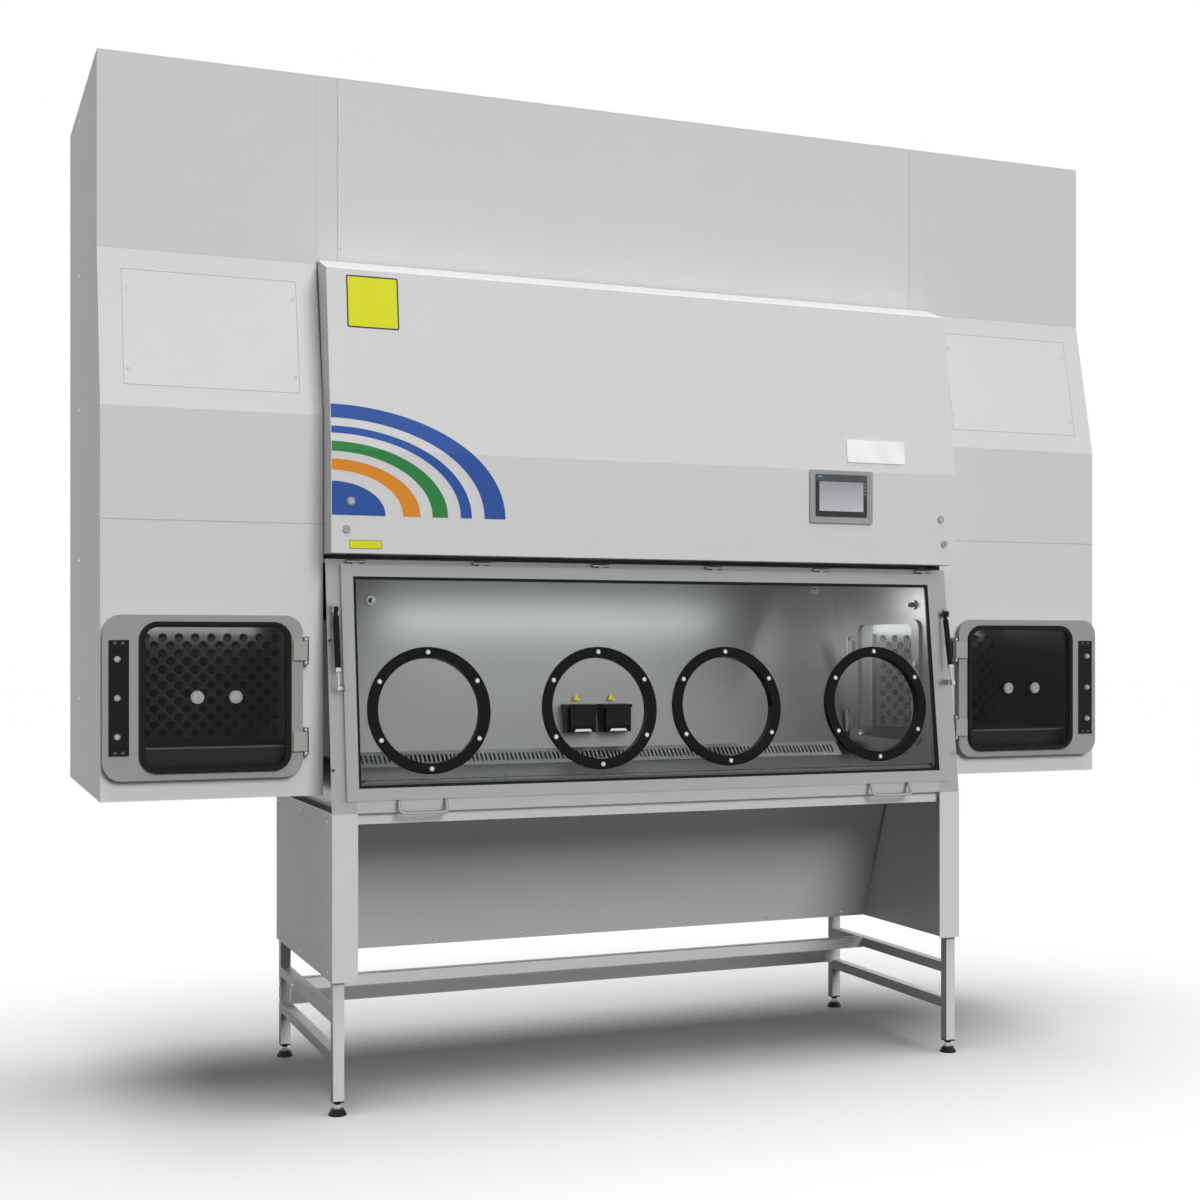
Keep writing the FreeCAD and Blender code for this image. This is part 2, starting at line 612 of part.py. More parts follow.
def make_work_tray():
    half = INNER_HALF - SEAT_GAP
    z1 = FLOOR_Z
    front = front_y(FLOOR_Z, PANE_FRONT_N - PANE_THICKNESS - 4)
    low_front = front_y(FLOOR_Z - TRAY_LIP, PANE_FRONT_N - PANE_THICKNESS - 4)
    tray = side_profile([(low_front, z1 - TRAY_LIP), (front, z1), (CHAMBER_REAR_Y - SHEET - 1, z1),
                         (CHAMBER_REAR_Y - SHEET - 1, z1 - SHEET), (front + SHEET, z1 - SHEET),
                         (low_front + SHEET, z1 - TRAY_LIP)], -half, half)
    keep("work_tray", tray)


def make_lamp():
    y0 = front_y(CEILING_Z, FACE_N - SHEET) + 12
    lamp = side_profile([(y0, CEILING_Z - SEAT_GAP), (y0 + LAMP_DEPTH, CEILING_Z - SEAT_GAP),
                         (y0 + LAMP_DEPTH * 0.8, CEILING_Z - LAMP_HEIGHT),
                         (y0 + LAMP_DEPTH * 0.2, CEILING_Z - LAMP_HEIGHT)], -LAMP_HALF, LAMP_HALF)
    keep("work_lamp", lamp)


def make_sockets():
    """Two splash-proof sockets on the inclined rear wall, each with its own flip lid."""
    bodies = []
    half_w = SOCKET_WIDTH / 2
    z0 = SOCKET_Z - SOCKET_HEIGHT / 2
    z1 = SOCKET_Z + SOCKET_HEIGHT / 2
    face_y = rear_wall_y(z0) - SOCKET_DEPTH
    pin_y = face_y - LID_THICKNESS / 2
    pin_z = z1 - LID_THICKNESS / 2
    for index, x in enumerate(SOCKET_X):
        body = side_profile([(rear_wall_y(z0) - SEAT_GAP, z0), (rear_wall_y(z1) - SEAT_GAP, z1),
                             (face_y, z1), (face_y, z0)], x - half_w, x + half_w)
        well = rod((x, face_y - 1, SOCKET_Z - 4), Y_AXIS, 22, 20)
        ears = []
        for side in (-1, 1):
            e0, e1 = sorted((x + side * half_w, x + side * (half_w - 8)))
            ears.append(box(e0, e1, face_y - LID_THICKNESS, face_y, z1 - LID_THICKNESS, z1))
        pin = rod((x - half_w + 2, pin_y, pin_z), X_AXIS, LID_PIN_RADIUS, SOCKET_WIDTH - 4)
        bodies.append(fused([body.cut(well)] + ears + [pin]))
        inner = half_w - 8 - SEAT_GAP
        reach = LID_THICKNESS / 2 - SEAT_GAP
        lid = side_profile([(face_y - SEAT_GAP, pin_z - reach), (face_y - SEAT_GAP, z0 + 2),
                            (face_y - LID_THICKNESS, z0 + 2), (face_y - LID_THICKNESS - 4, z0 + 20),
                            (face_y - LID_THICKNESS - 2, pin_z - reach)], x - inner, x + inner)
        knuckle = rod((x - inner, pin_y, pin_z), X_AXIS, reach, 2 * inner)
        web = box(x - inner, x + inner, pin_y - reach, pin_y + reach, pin_z - reach - 2, pin_z)
        bore = rod((x - inner - 1, pin_y, pin_z), X_AXIS, LID_PIN_RADIUS + PIN_CLEARANCE, 2 * inner + 2)
        keep("socket_lid_%s" % ("left", "right")[index], fused([lid, knuckle, web]).cut(bore))
    keep("power_sockets", bodies)
    return pin_y, pin_z


def make_spray_fittings():
    fittings = []
    for share, z in SPRAY_REAR:
        x = share * INNER_HALF
        y = rear_wall_y(z)
        flange = rod((x, y - SEAT_GAP, z), -Y_AXIS, SPRAY_RADIUS, 6)
        nozzle = Part.makeCone(SPRAY_RADIUS * 0.6, SPRAY_RADIUS * 0.3, SPRAY_REACH,
                               Vector(x, y - 5, z), -Y_AXIS)
        fittings.append(fused([flange, nozzle]).cut(side_profile(
            [(y - SEAT_GAP - SPRAY_RADIUS * REAR_WALL_LEAN, z - SPRAY_RADIUS),
             (y - SEAT_GAP + SPRAY_RADIUS * REAR_WALL_LEAN, z + SPRAY_RADIUS),
             (y + 20, z + SPRAY_RADIUS), (y + 20, z - SPRAY_RADIUS)],
            x - SPRAY_RADIUS - 1, x + SPRAY_RADIUS + 1)))
    x = INNER_HALF - SEAT_GAP
    flange = rod((x, SPRAY_SIDE_Y, SPRAY_SIDE_Z), -X_AXIS, SPRAY_RADIUS, 6)
    nozzle = Part.makeCone(SPRAY_RADIUS * 0.6, SPRAY_RADIUS * 0.3, SPRAY_REACH,
                           Vector(x - 5, SPRAY_SIDE_Y, SPRAY_SIDE_Z), -X_AXIS)
    fittings += both_sides(fused([flange, nozzle]))
    keep("spray_fittings", fittings)


# Window

def ring_plate(half_x, s0, s1, border, front_n, back_n):
    outer = box(-half_x, half_x, -front_n, -back_n, s0, s1)
    return outer.cut(box(-half_x + border, half_x - border, -front_n - 1, -back_n + 1,
                         s0 + border, s1 - border))


def make_window():
    frame = ring_plate(FRAME_HALF, FRAME_BOTTOM_S, FRAME_TOP_S, FRAME_BORDER, FRAME_FRONT_N, FRAME_BACK_N)
    rebate_half = FRAME_HALF - FRAME_BORDER + PANE_LAP + SEAT_GAP
    rebate = box(-rebate_half, rebate_half, -PANE_FRONT_N - SEAT_GAP, -FRAME_BACK_N + 1,
                 FRAME_BOTTOM_S + FRAME_BORDER - PANE_LAP - SEAT_GAP,
                 FRAME_TOP_S - FRAME_BORDER + PANE_LAP + SEAT_GAP)
    keep("window_frame", on_window(frame.cut(rebate)))

    pane_half = FRAME_HALF - FRAME_BORDER + PANE_LAP
    pane = box(-pane_half, pane_half, -PANE_FRONT_N, -PANE_FRONT_N + PANE_THICKNESS,
               FRAME_BOTTOM_S + FRAME_BORDER - PANE_LAP, FRAME_TOP_S - FRAME_BORDER + PANE_LAP)
    neck = PORT_INNER_RADIUS + PORT_NECK
    holes = [rod((x, 0, 0), Y_AXIS, neck + SEAT_GAP, 40) for x in PORT_X]
    keep("window_pane", on_window(pane.cut(holes)))
    keep("port_rings", [on_window(port_ring(x)) for x in PORT_X])


def port_ring(x):
    """Glove port ring: front flange, neck through the glass and clamping back flange."""
    neck = PORT_INNER_RADIUS + PORT_NECK
    glass_front = -PANE_FRONT_N - SEAT_GAP
    glass_back = -PANE_FRONT_N + PANE_THICKNESS + SEAT_GAP
    outline = [(PORT_INNER_RADIUS + 2, 0), (PORT_OUTER_RADIUS - 2, 0), (PORT_OUTER_RADIUS, 2),
               (PORT_OUTER_RADIUS, glass_front), (neck, glass_front), (neck, glass_back),
               (PORT_BACK_FLANGE, glass_back), (PORT_BACK_FLANGE, PORT_DEPTH),
               (PORT_INNER_RADIUS, PORT_DEPTH), (PORT_INNER_RADIUS, 2)]
    corners = [Vector(r, y, 0) for r, y in outline]
    ring = Part.Face(Part.makePolygon(corners + corners[:1])).revolve(Vector(0, 0, 0), Y_AXIS, 360)
    ring.translate(Vector(x, 0, 0))
    return ring


def handle(x):
    """A round bar bent to a U below the window frame, its grip leaning out to the fingers."""
    half = HANDLE_WIDTH / 2
    drop = HANDLE_DROP
    out = drop * 0.45
    y0 = -(FRAME_FRONT_N + FRAME_BACK_N) / 2
    top = FRAME_BOTTOM_S - SEAT_GAP
    start = Vector(x - half, y0, top)
    low_left = Vector(x - half, y0 - out, top - drop)
    low_right = Vector(x + half, y0 - out, top - drop)
    end = Vector(x + half, y0, top)
    down = (low_left - start).normalize()
    across = Vector(1, 0, 0)
    r = HANDLE_BEND
    arcs = []
    for corner, arrive, leave in ((low_left, down, across), (low_right, across, -down)):
        a = corner - arrive * r
        b = corner + leave * r
        centre = corner - arrive * r + leave * r
        mid = centre + (corner - centre).normalize() * r
        arcs.append((a, b, Part.Arc(a, mid, b).toShape()))
    edges = [Part.LineSegment(start, arcs[0][0]).toShape(), arcs[0][2],
             Part.LineSegment(arcs[0][1], arcs[1][0]).toShape(), arcs[1][2],
             Part.LineSegment(arcs[1][1], end).toShape()]
    path = Part.Wire(edges)
    section = Part.Wire([Part.Circle(start, down, HANDLE_BAR_RADIUS).toShape()])
    bar = path.makePipeShell([section], True, False)
    trim = box(x - 2 * half, x + 2 * half, -drop, drop, top, top + drop)
    return on_window(bar.cut(trim))


def make_handles():
    keep("window_handles", [handle(-HANDLE_X), handle(HANDLE_X)])


def hinge_positions():
    first = -(WINDOW_HINGE_COUNT - 1) * WINDOW_HINGE_PITCH / 2
    return [first + i * WINDOW_HINGE_PITCH for i in range(WINDOW_HINGE_COUNT)]


def window_hinges():
    """Small butt hinges on top of the frame: returns the fixed leaves and the moving leaves."""
    fixed = []
    moving = []
    axis_y = -WINDOW_PIVOT_N
    third = WINDOW_HINGE_LENGTH / 3
    r = WINDOW_KNUCKLE_RADIUS
    for x in hinge_positions():
        x0 = x - WINDOW_HINGE_LENGTH / 2
        knuckle = rod((x0 + third + SEAT_GAP, axis_y, WINDOW_PIVOT_S), X_AXIS, r, third - 2 * SEAT_GAP)
        foot = box(x0 + third + SEAT_GAP, x0 + 2 * third - SEAT_GAP, axis_y - 2, axis_y + 2,
                   FRAME_TOP_S + SEAT_GAP, WINDOW_PIVOT_S)
        bore = rod((x0, axis_y, WINDOW_PIVOT_S), X_AXIS, WINDOW_PIN_RADIUS + PIN_CLEARANCE,
                   WINDOW_HINGE_LENGTH)
        moving.append(on_window(fused([knuckle, foot]).cut(bore)))
        pieces = [rod((x0, axis_y, WINDOW_PIVOT_S), X_AXIS, WINDOW_PIN_RADIUS, WINDOW_HINGE_LENGTH)]
        for start in (x0, x0 + 2 * third):
            pieces.append(rod((start, axis_y, WINDOW_PIVOT_S), X_AXIS, r, third))
            pieces.append(box(start, start + third, axis_y, -FACE_N - SEAT_GAP,
                              WINDOW_PIVOT_S - 1.5, WINDOW_PIVOT_S + 1.5))
        fixed.append(on_window(fused(pieces)))
    return fixed, moving


# Gas springs

def spring_vector():
    dy = SPRING_LOW_Y - SPRING_TOP_Y
    dz = SPRING_LOW_Z - SPRING_TOP_Z
    length = math.hypot(dy, dz)
    return Vector(0, dy / length, dz / length), length


def make_gas_springs():
    direction, length = spring_vector()
    top = Vector(SPRING_X, SPRING_TOP_Y, SPRING_TOP_Z)
    eye_x = SPRING_X - SPRING_EYE_HALF
    tube_start = top + direction * SPRING_TUBE_START
    tube = Part.makeCylinder(SPRING_TUBE_RADIUS, SPRING_TUBE_LENGTH, tube_start, direction)
    neck = Part.makeCylinder(SPRING_ROD_RADIUS + 1.5, SPRING_TUBE_START + 1, top, direction)
    eye = rod((eye_x, SPRING_TOP_Y, SPRING_TOP_Z), X_AXIS, SPRING_EYE_RADIUS, 2 * SPRING_EYE_HALF)
    hole = rod((eye_x - 1, SPRING_TOP_Y, SPRING_TOP_Z), X_AXIS, SPRING_STUD_RADIUS + STUD_CLEARANCE,
               2 * SPRING_EYE_HALF + 2)
    bore_start = top + direction * (SPRING_TUBE_START + 12)
    bore = Part.makeCylinder(SPRING_ROD_RADIUS + SPRING_ROD_CLEARANCE, SPRING_TUBE_LENGTH,
                             bore_start, direction)
    cylinder = fused([tube, neck, eye]).cut([hole, bore])
    rod_start = top + direction * (SPRING_TUBE_START + 14)
    shaft = Part.makeCylinder(SPRING_ROD_RADIUS, length - SPRING_TUBE_START - 14, rod_start, direction)
    low_eye = rod((eye_x, SPRING_LOW_Y, SPRING_LOW_Z), X_AXIS, SPRING_EYE_RADIUS, 2 * SPRING_EYE_HALF)
    low_hole = rod((eye_x - 1, SPRING_LOW_Y, SPRING_LOW_Z), X_AXIS,
                   SPRING_STUD_RADIUS + STUD_CLEARANCE, 2 * SPRING_EYE_HALF - 2)
    piston = fused([shaft, low_eye]).cut(low_hole)
    keep("gas_spring_cylinder_right", cylinder)
    keep("gas_spring_cylinder_left", mirrored(cylinder))
    keep("gas_spring_rod_right", piston)
    keep("gas_spring_rod_left", mirrored(piston))


def spring_brackets():
    """Right-hand upper bracket on the jamb and lower stud on the window frame's edge."""
    face = front_y(SPRING_TOP_Z, FACE_N)
    outer = CENTRE_HALF - 2
    ear_x = SPRING_X + SPRING_EYE_HALF + 1
    base = side_profile([(front_y(SPRING_TOP_Z - 16, FACE_N) - SEAT_GAP - 3, SPRING_TOP_Z - 16),
                         (front_y(SPRING_TOP_Z + 16, FACE_N) - SEAT_GAP - 3, SPRING_TOP_Z + 16),
                         (front_y(SPRING_TOP_Z + 16, FACE_N) - SEAT_GAP, SPRING_TOP_Z + 16),
                         (front_y(SPRING_TOP_Z - 16, FACE_N) - SEAT_GAP, SPRING_TOP_Z - 16)],
                        ear_x, outer)
    ear = box(ear_x, ear_x + 3, SPRING_TOP_Y - 9, face - SEAT_GAP, SPRING_TOP_Z - 9, SPRING_TOP_Z + 9)
    stud = rod((SPRING_X - SPRING_EYE_HALF, SPRING_TOP_Y, SPRING_TOP_Z), X_AXIS, SPRING_STUD_RADIUS,
               ear_x + 1 - SPRING_X + SPRING_EYE_HALF)
    upper = fused([base, ear, stud])
    trim = side_profile([(front_y(SPRING_TOP_Z - 20, FACE_N) - SEAT_GAP, SPRING_TOP_Z - 20),
                         (front_y(SPRING_TOP_Z + 20, FACE_N) - SEAT_GAP, SPRING_TOP_Z + 20),
                         (face + 40, SPRING_TOP_Z + 20), (face + 40, SPRING_TOP_Z - 20)],
                        SPRING_X - 30, CENTRE_HALF)
    upper = upper.cut(trim)
    reach = SPRING_X - SPRING_EYE_HALF - SEAT_GAP
    start = FRAME_HALF + SEAT_GAP
    lower = rod((start, SPRING_LOW_Y, SPRING_LOW_Z), X_AXIS, SPRING_STUD_RADIUS, reach - start)
    root_y = front_y(SPRING_LOW_Z, FRAME_BACK_N + 2)
    arm = box(start, start + 4, SPRING_LOW_Y - 8, root_y, SPRING_LOW_Z - 8, SPRING_LOW_Z + 8)
    return upper, fused([lower, arm])


# Front fascia

def fascia_outline():
    hinge_back = (FASCIA_HINGE_Y + FASCIA_BACK_REACH, FASCIA_HINGE_Z + FASCIA_BACK_RISE)
    return [hinge_back, (FASCIA_TOP_FRONT_Y, FASCIA_TOP_FRONT_Z), (FASCIA_FRONT_Y, FASCIA_CREASE_Z),
            (FASCIA_FRONT_Y, FASCIA_BOTTOM_Z), (FASCIA_TUCK, FASCIA_BOTTOM_Z)]


def make_fascia():
    """A folded front panel: sloping top band, leaning face, upright face and bottom return."""
    back = [(FASCIA_TUCK, LOWER_BREAK_Z),
            (UPPER_SETBACK - 20, UPPER_BREAK_Z - 50)]
    outline = fascia_outline() + back
    solid = side_profile(outline, -FASCIA_HALF, FASCIA_HALF)
    points = fascia_outline()
    t = SHEET
    inner = [(points[0][0] + 4, points[0][1] - 1.2 * t), (points[1][0] + 0.8 * t, points[1][1] - 1.2 * t),
             (points[2][0] + t, points[2][1]), (points[3][0] + t, points[3][1] + t),
             (points[4][0] + 1, points[4][1] + t), (FASCIA_TUCK + 1, LOWER_BREAK_Z),
             (UPPER_SETBACK - 12, UPPER_BREAK_Z - 50)]
    hollow = side_profile(inner, -FASCIA_HALF + t, FASCIA_HALF - t)
    shell = solid.cut(hollow)
    cutout = box(PANEL_X - PANEL_WIDTH / 2 + 9, PANEL_X + PANEL_WIDTH / 2 - 9,
                 FASCIA_FRONT_Y - 1, FASCIA_FRONT_Y + t + 1,
                 PANEL_Z - PANEL_HEIGHT / 2 + 9, PANEL_Z + PANEL_HEIGHT / 2 - 9)
    holes = [cutout]
    for x in (-CAM_X, CAM_X):
        holes.append(rod((x, FASCIA_FRONT_Y - 1, CAM_Z), Y_AXIS, CAM_SHAFT_RADIUS + PIN_CLEARANCE, t + 2))
    holes.append(rod((-FASCIA_HALF - 1, FASCIA_HINGE_Y, FASCIA_HINGE_Z), X_AXIS,
                     FASCIA_PIN_RADIUS + PIN_CLEARANCE, 2 * FASCIA_HALF + 2))
    keep("fascia_panel", shell.cut(holes))


def make_touch_panel():
    y0 = FASCIA_FRONT_Y - PANEL_PROUD
    bezel = rounded_plate(PANEL_WIDTH, PANEL_HEIGHT, 6, PANEL_PROUD - SEAT_GAP, (PANEL_X, y0, PANEL_Z))
    screen = box(PANEL_X - PANEL_WIDTH / 2 + PANEL_RIM, PANEL_X + PANEL_WIDTH / 2 - PANEL_RIM,
                 y0 - 1, y0 + PANEL_RECESS, PANEL_Z - PANEL_HEIGHT / 2 + PANEL_RIM,
                 PANEL_Z + PANEL_HEIGHT / 2 - PANEL_RIM)
    rear = box(PANEL_X - PANEL_WIDTH / 2 + 10, PANEL_X + PANEL_WIDTH / 2 - 10,
               y0 + PANEL_RECESS + 1, FASCIA_FRONT_Y + PANEL_BODY_DEPTH,
               PANEL_Z - PANEL_HEIGHT / 2 + 10, PANEL_Z + PANEL_HEIGHT / 2 - 10)
    keep("touch_panel", fused([bezel.cut(screen), rear]))


def cam_lock(x):
    """Quarter-turn lock: slotted head, shaft through the fascia and cam blade behind it."""
    y = FASCIA_FRONT_Y
    head = rod((x, y - SEAT_GAP, CAM_Z), -Y_AXIS, CAM_HEAD_RADIUS, CAM_HEAD_HEIGHT)
    slot = box(x - 1.2, x + 1.2, y - CAM_HEAD_HEIGHT - 2, y - CAM_HEAD_HEIGHT + 1, CAM_Z - 6, CAM_Z + 6)
    shaft = rod((x, y - SEAT_GAP - 1, CAM_Z), Y_AXIS, CAM_SHAFT_RADIUS, 22)
    blade = box(x - 8, x + 8, y + 16, y + 19, CAM_Z - 32, CAM_Z + 8)
    return fused([head, shaft, blade]).cut(slot)


def fascia_pins():
    """Right-hand hinge bracket on the housing, with the pin that the fascia's side turns on."""
    y1 = UPPER_SETBACK - SEAT_GAP
    x_in = FASCIA_HALF - SHEET - 22
    x_out = FASCIA_HALF - SHEET - SEAT_GAP
    reach = FASCIA_PIN_RADIUS + 1.8
    ear = rod((x_in, FASCIA_HINGE_Y, FASCIA_HINGE_Z), X_AXIS, reach, x_out - x_in)
    neck = box(x_in, x_out, FASCIA_HINGE_Y - reach, FASCIA_HINGE_Y + reach,
               FASCIA_HINGE_Z - 18, FASCIA_HINGE_Z)
    arm = box(x_in, x_out, FASCIA_HINGE_Y - reach, y1, FASCIA_HINGE_Z - 18, FASCIA_HINGE_Z - 5)
    pin = rod((x_in + 5, FASCIA_HINGE_Y, FASCIA_HINGE_Z), X_AXIS, FASCIA_PIN_RADIUS,
              FASCIA_HALF + 0.5 - x_in - 5)
    return fused([ear, neck, arm, pin])


# Centre housing

def make_centre_housing():
    """The welded plenum above the chamber, open behind its removable front cover."""
    y0 = UPPER_SETBACK
    half = CENTRE_HALF
    outer = box(-half, half, y0, TOWER_DEPTH, HOUSING_BOTTOM_Z, TOTAL_HEIGHT)
    hollow = box(-half + SHEET, half - SHEET, y0 + SHEET, TOWER_DEPTH - SHEET,
                 HOUSING_BOTTOM_Z + SHEET, TOTAL_HEIGHT - SHEET)
    gap = COVER_GAP
    face = box(-FRONT_COVER_HALF - gap, FRONT_COVER_HALF + gap, y0 - 1, y0 + SHEET,
               FRONT_COVER_BOTTOM_Z - gap, TOTAL_HEIGHT - SHEET)
    shell = outer.cut([hollow, face])
    lap = FLANGE
    for side in (-1, 1):
        x0, x1 = sorted((side * (FRONT_COVER_HALF - lap), side * (FRONT_COVER_HALF + lap)))
        shell = shell.fuse(box(x0, x1, y0 + SHEET, y0 + 2 * SHEET,
                               FRONT_COVER_BOTTOM_Z - lap, TOTAL_HEIGHT - SHEET))
    shell = shell.fuse(box(-FRONT_COVER_HALF, FRONT_COVER_HALF, y0 + SHEET, y0 + 2 * SHEET,
                           FRONT_COVER_BOTTOM_Z - lap, FRONT_COVER_BOTTOM_Z + lap))
    rim = FILTER_FRAME
    airway = box(-FILTER_HALF_X + rim, FILTER_HALF_X - rim, FILTER_FRONT_Y + rim, FILTER_REAR_Y - rim,
                 HOUSING_BOTTOM_Z - 1, HOUSING_BOTTOM_Z + SHEET + 1)
    outlet = rod((0, SPIGOT_Y, TOTAL_HEIGHT - SHEET - 1), Z_AXIS, SPIGOT_RADIUS - SPIGOT_WALL, 10)
    shell = shell.cut([airway, outlet])
    seat = TOTAL_HEIGHT + SEAT_GAP
    flange = rod((0, SPIGOT_Y, seat), Z_AXIS, SPIGOT_RADIUS + SPIGOT_FLANGE, SHEET)
    collar = rod((0, SPIGOT_Y, seat), Z_AXIS, SPIGOT_RADIUS, SPIGOT_HEIGHT - SEAT_GAP)
    way = rod((0, SPIGOT_Y, seat - 1), Z_AXIS, SPIGOT_RADIUS - SPIGOT_WALL, SPIGOT_HEIGHT + 2)
    keep("centre_housing", [shell.removeSplitter(), fused([flange, collar]).cut(way)])

    cover = box(-FRONT_COVER_HALF, FRONT_COVER_HALF, y0, y0 + SHEET - SEAT_GAP,
                FRONT_COVER_BOTTOM_Z, TOTAL_HEIGHT - SHEET - SEAT_GAP)
    keep("centre_front_cover", cover)


def make_air_handling():
    """Supply filter, tower filters, circulation fan with motor, and the control box."""
    z0 = HOUSING_BOTTOM_Z + SHEET + SEAT_GAP
    filters = [box(-FILTER_HALF_X, FILTER_HALF_X, FILTER_FRONT_Y, FILTER_REAR_Y, z0, z0 + FILTER_HEIGHT)]
    x0 = COVER_CENTRE_X - TOWER_FILTER_WIDTH / 2
    slab_z = LOWER_BREAK_Z + TOWER_FILTER_RISE
    cell_height = COVER_HEIGHT - TOWER_FILTER_SHORTER
    y0 = UPPER_SETBACK + 10
    for sign in (-1, 1):
        low, high = sorted((sign * x0, sign * (x0 + TOWER_FILTER_WIDTH)))
        outer_wall = HALF - SHEET - SEAT_GAP
        shelf_low, shelf_high = sorted((sign * (TOWER_INNER_X + SHEET + SEAT_GAP), sign * outer_wall))
        cell = box(low, high, y0, y0 + TOWER_FILTER_DEPTH, slab_z, slab_z + cell_height)
        shelf = box(shelf_low, shelf_high, y0, y0 + TOWER_FILTER_DEPTH, slab_z - SHEET, slab_z)
        filters.append(fused([cell, shelf]))
    keep("hepa_filters", filters)
    z1 = z0 + FILTER_HEIGHT + SEAT_GAP
    middle_y = (FILTER_FRONT_Y + FILTER_REAR_Y) / 2
    reach = FAN_RADIUS + FAN_PLATE_MARGIN
    plate = box(-reach, reach, middle_y - reach, middle_y + reach, z1, z1 + FAN_PLATE)
    scroll = rod((0, middle_y, z1), Z_AXIS, FAN_RADIUS, FAN_HEIGHT)
    motor = rod((0, middle_y, z1 + FAN_HEIGHT - 1), Z_AXIS, FAN_MOTOR_RADIUS, FAN_MOTOR_HEIGHT)
    keep("circulation_fan", fused([plate, scroll, motor]))
    y1 = UPPER_SETBACK - SEAT_GAP
    keep("control_box", box(-CONTROL_BOX_WIDTH / 2, CONTROL_BOX_WIDTH / 2, y1 - CONTROL_BOX_DEPTH / 2, y1,
                            CONTROL_BOX_Z, CONTROL_BOX_Z + CONTROL_BOX_HEIGHT))


# Side towers

def slope_frame():
    """Angle of the sloping tower face from upright, and its foot (y, z)."""
    angle = math.degrees(math.atan2(UPPER_SETBACK, UPPER_BREAK_Z - LOWER_BREAK_Z))
    return angle, 0.0, LOWER_BREAK_Z


def on_slope(shape):
    angle, y, z = slope_frame()
    placed = shape.copy()
    placed.rotate(Vector(0, 0, 0), X_AXIS, -angle)
    placed.translate(Vector(0, y, z))
    return placed


def make_towers():
    x0 = TOWER_INNER_X
    x1 = HALF
    seam = SIDE_SEAM_Y
    hairline = SEAT_GAP / 2
    top = box(x0, x1, UPPER_SETBACK, seam, UPPER_BREAK_Z + hairline, TOTAL_HEIGHT)
    top = top.cut(box(x0 + SHEET, x1 - SHEET, UPPER_SETBACK + SHEET, seam + 1,
                      UPPER_BREAK_Z - 1, TOTAL_HEIGHT - SHEET))
    keep("tower_tops", both_sides(top))

    z0 = MIDDLE_BOTTOM_Z
    z1 = UPPER_BREAK_Z - hairline
    slope = UPPER_SETBACK / (UPPER_BREAK_Z - LOWER_BREAK_Z)
    middle = side_profile([(0, z0), (0, LOWER_BREAK_Z), (UPPER_SETBACK, z1), (seam, z1), (seam, z0)], x0, x1)
    hollow = side_profile([(SHEET, z0 - 1), (SHEET, LOWER_BREAK_Z),
                           (UPPER_SETBACK + SHEET + slope, z1 + 1), (seam + 1, z1 + 1), (seam + 1, z0 - 1)],
                          x0 + SHEET, x1 - SHEET)
    middle = middle.cut(hollow)
    half_w = COVER_WIDTH / 2
    half_h = COVER_HEIGHT / 2
    cx = COVER_CENTRE_X
    rise = COVER_CENTRE_RISE
    ring = box(cx - half_w - COVER_LAP, cx + half_w + COVER_LAP, SHEET - 0.5, 2 * SHEET,
               rise - half_h - COVER_LAP, rise + half_h + COVER_LAP)
    ring = ring.cut(box(cx - half_w + COVER_LAP, cx + half_w - COVER_LAP, 0, 3 * SHEET,
                        rise - half_h + COVER_LAP, rise + half_h - COVER_LAP))
    grow = COVER_GAP
    recess = box(cx - half_w - grow, cx + half_w + grow, -2, SHEET,
                 rise - half_h - grow, rise + half_h + grow)
    middle = middle.fuse(on_slope(ring)).cut(on_slope(recess)).removeSplitter()
    through = box(cx - half_w + COVER_LAP, cx + half_w - COVER_LAP, -2, 3 * SHEET,
                  rise - half_h + COVER_LAP, rise + half_h - COVER_LAP)
    middle = middle.cut(on_slope(through))
    keep("tower_middles", both_sides(middle))
    cover = box(cx - half_w, cx + half_w, 0, SHEET - SEAT_GAP, rise - half_h, rise + half_h)
    keep("access_covers", both_sides(on_slope(cover)))

    back = box(x0, x1, seam + hairline, TOWER_DEPTH, TOWER_BOTTOM_Z, TOTAL_HEIGHT)
    back = back.cut(box(x0 + SHEET, x1 - SHEET, seam - 1, TOWER_DEPTH - SHEET,
                        TOWER_BOTTOM_Z + SHEET, TOTAL_HEIGHT - SHEET))
    reach = CENTRE_HALF
    centre = box(-reach, reach, CHAMBER_REAR_Y + SEAT_GAP, TOWER_DEPTH, STAND_TOP_Z + 30,
                 HOUSING_BOTTOM_Z - SEAT_GAP)
    centre = centre.cut(box(-reach + SHEET, reach - SHEET, CHAMBER_REAR_Y - 1, TOWER_DEPTH - SHEET,
                            STAND_TOP_Z + 30 + SHEET, HOUSING_BOTTOM_Z - SHEET))
    keep("back_covers", both_sides(back) + [centre])


def door_opening(y0, y1, margins, corner):
    """A prism like the window rim's outline, smaller all over by the margins of both its sides."""
    return rounded_plate(RIM_WIDTH - margins, RIM_HEIGHT - margins, corner, y1 - y0, (WINDOW_X, y0, DOOR_Z))


def strips(low, high, hole_low, hole_high):
    """Four strips around a hole in a rectangle, as (low, high) corners in the rectangle's plane."""
    (u0, w0), (u1, w1) = low, high
    (a0, b0), (a1, b1) = hole_low, hole_high
    g = SEAT_GAP
    return [((u0, w0), (u1, b0)), ((u0, b1), (u1, w1)),
            ((u0, b0 + g), (a0, b1 - g)), ((a1, b0 + g), (u1, b1 - g))]


def side_wall(x, y0, y1, z0, z1):
    """A wall sheet with the doorway left open, made of four strips."""
    pieces = strips((y0, z0), (y1, z1), (DOORWAY_FRONT_Y, DOORWAY_BOTTOM_Z), (DOORWAY_REAR_Y, DOORWAY_TOP_Z))
    return [box(x, x + SHEET, a, c, b, d) for (a, b), (c, d) in pieces]


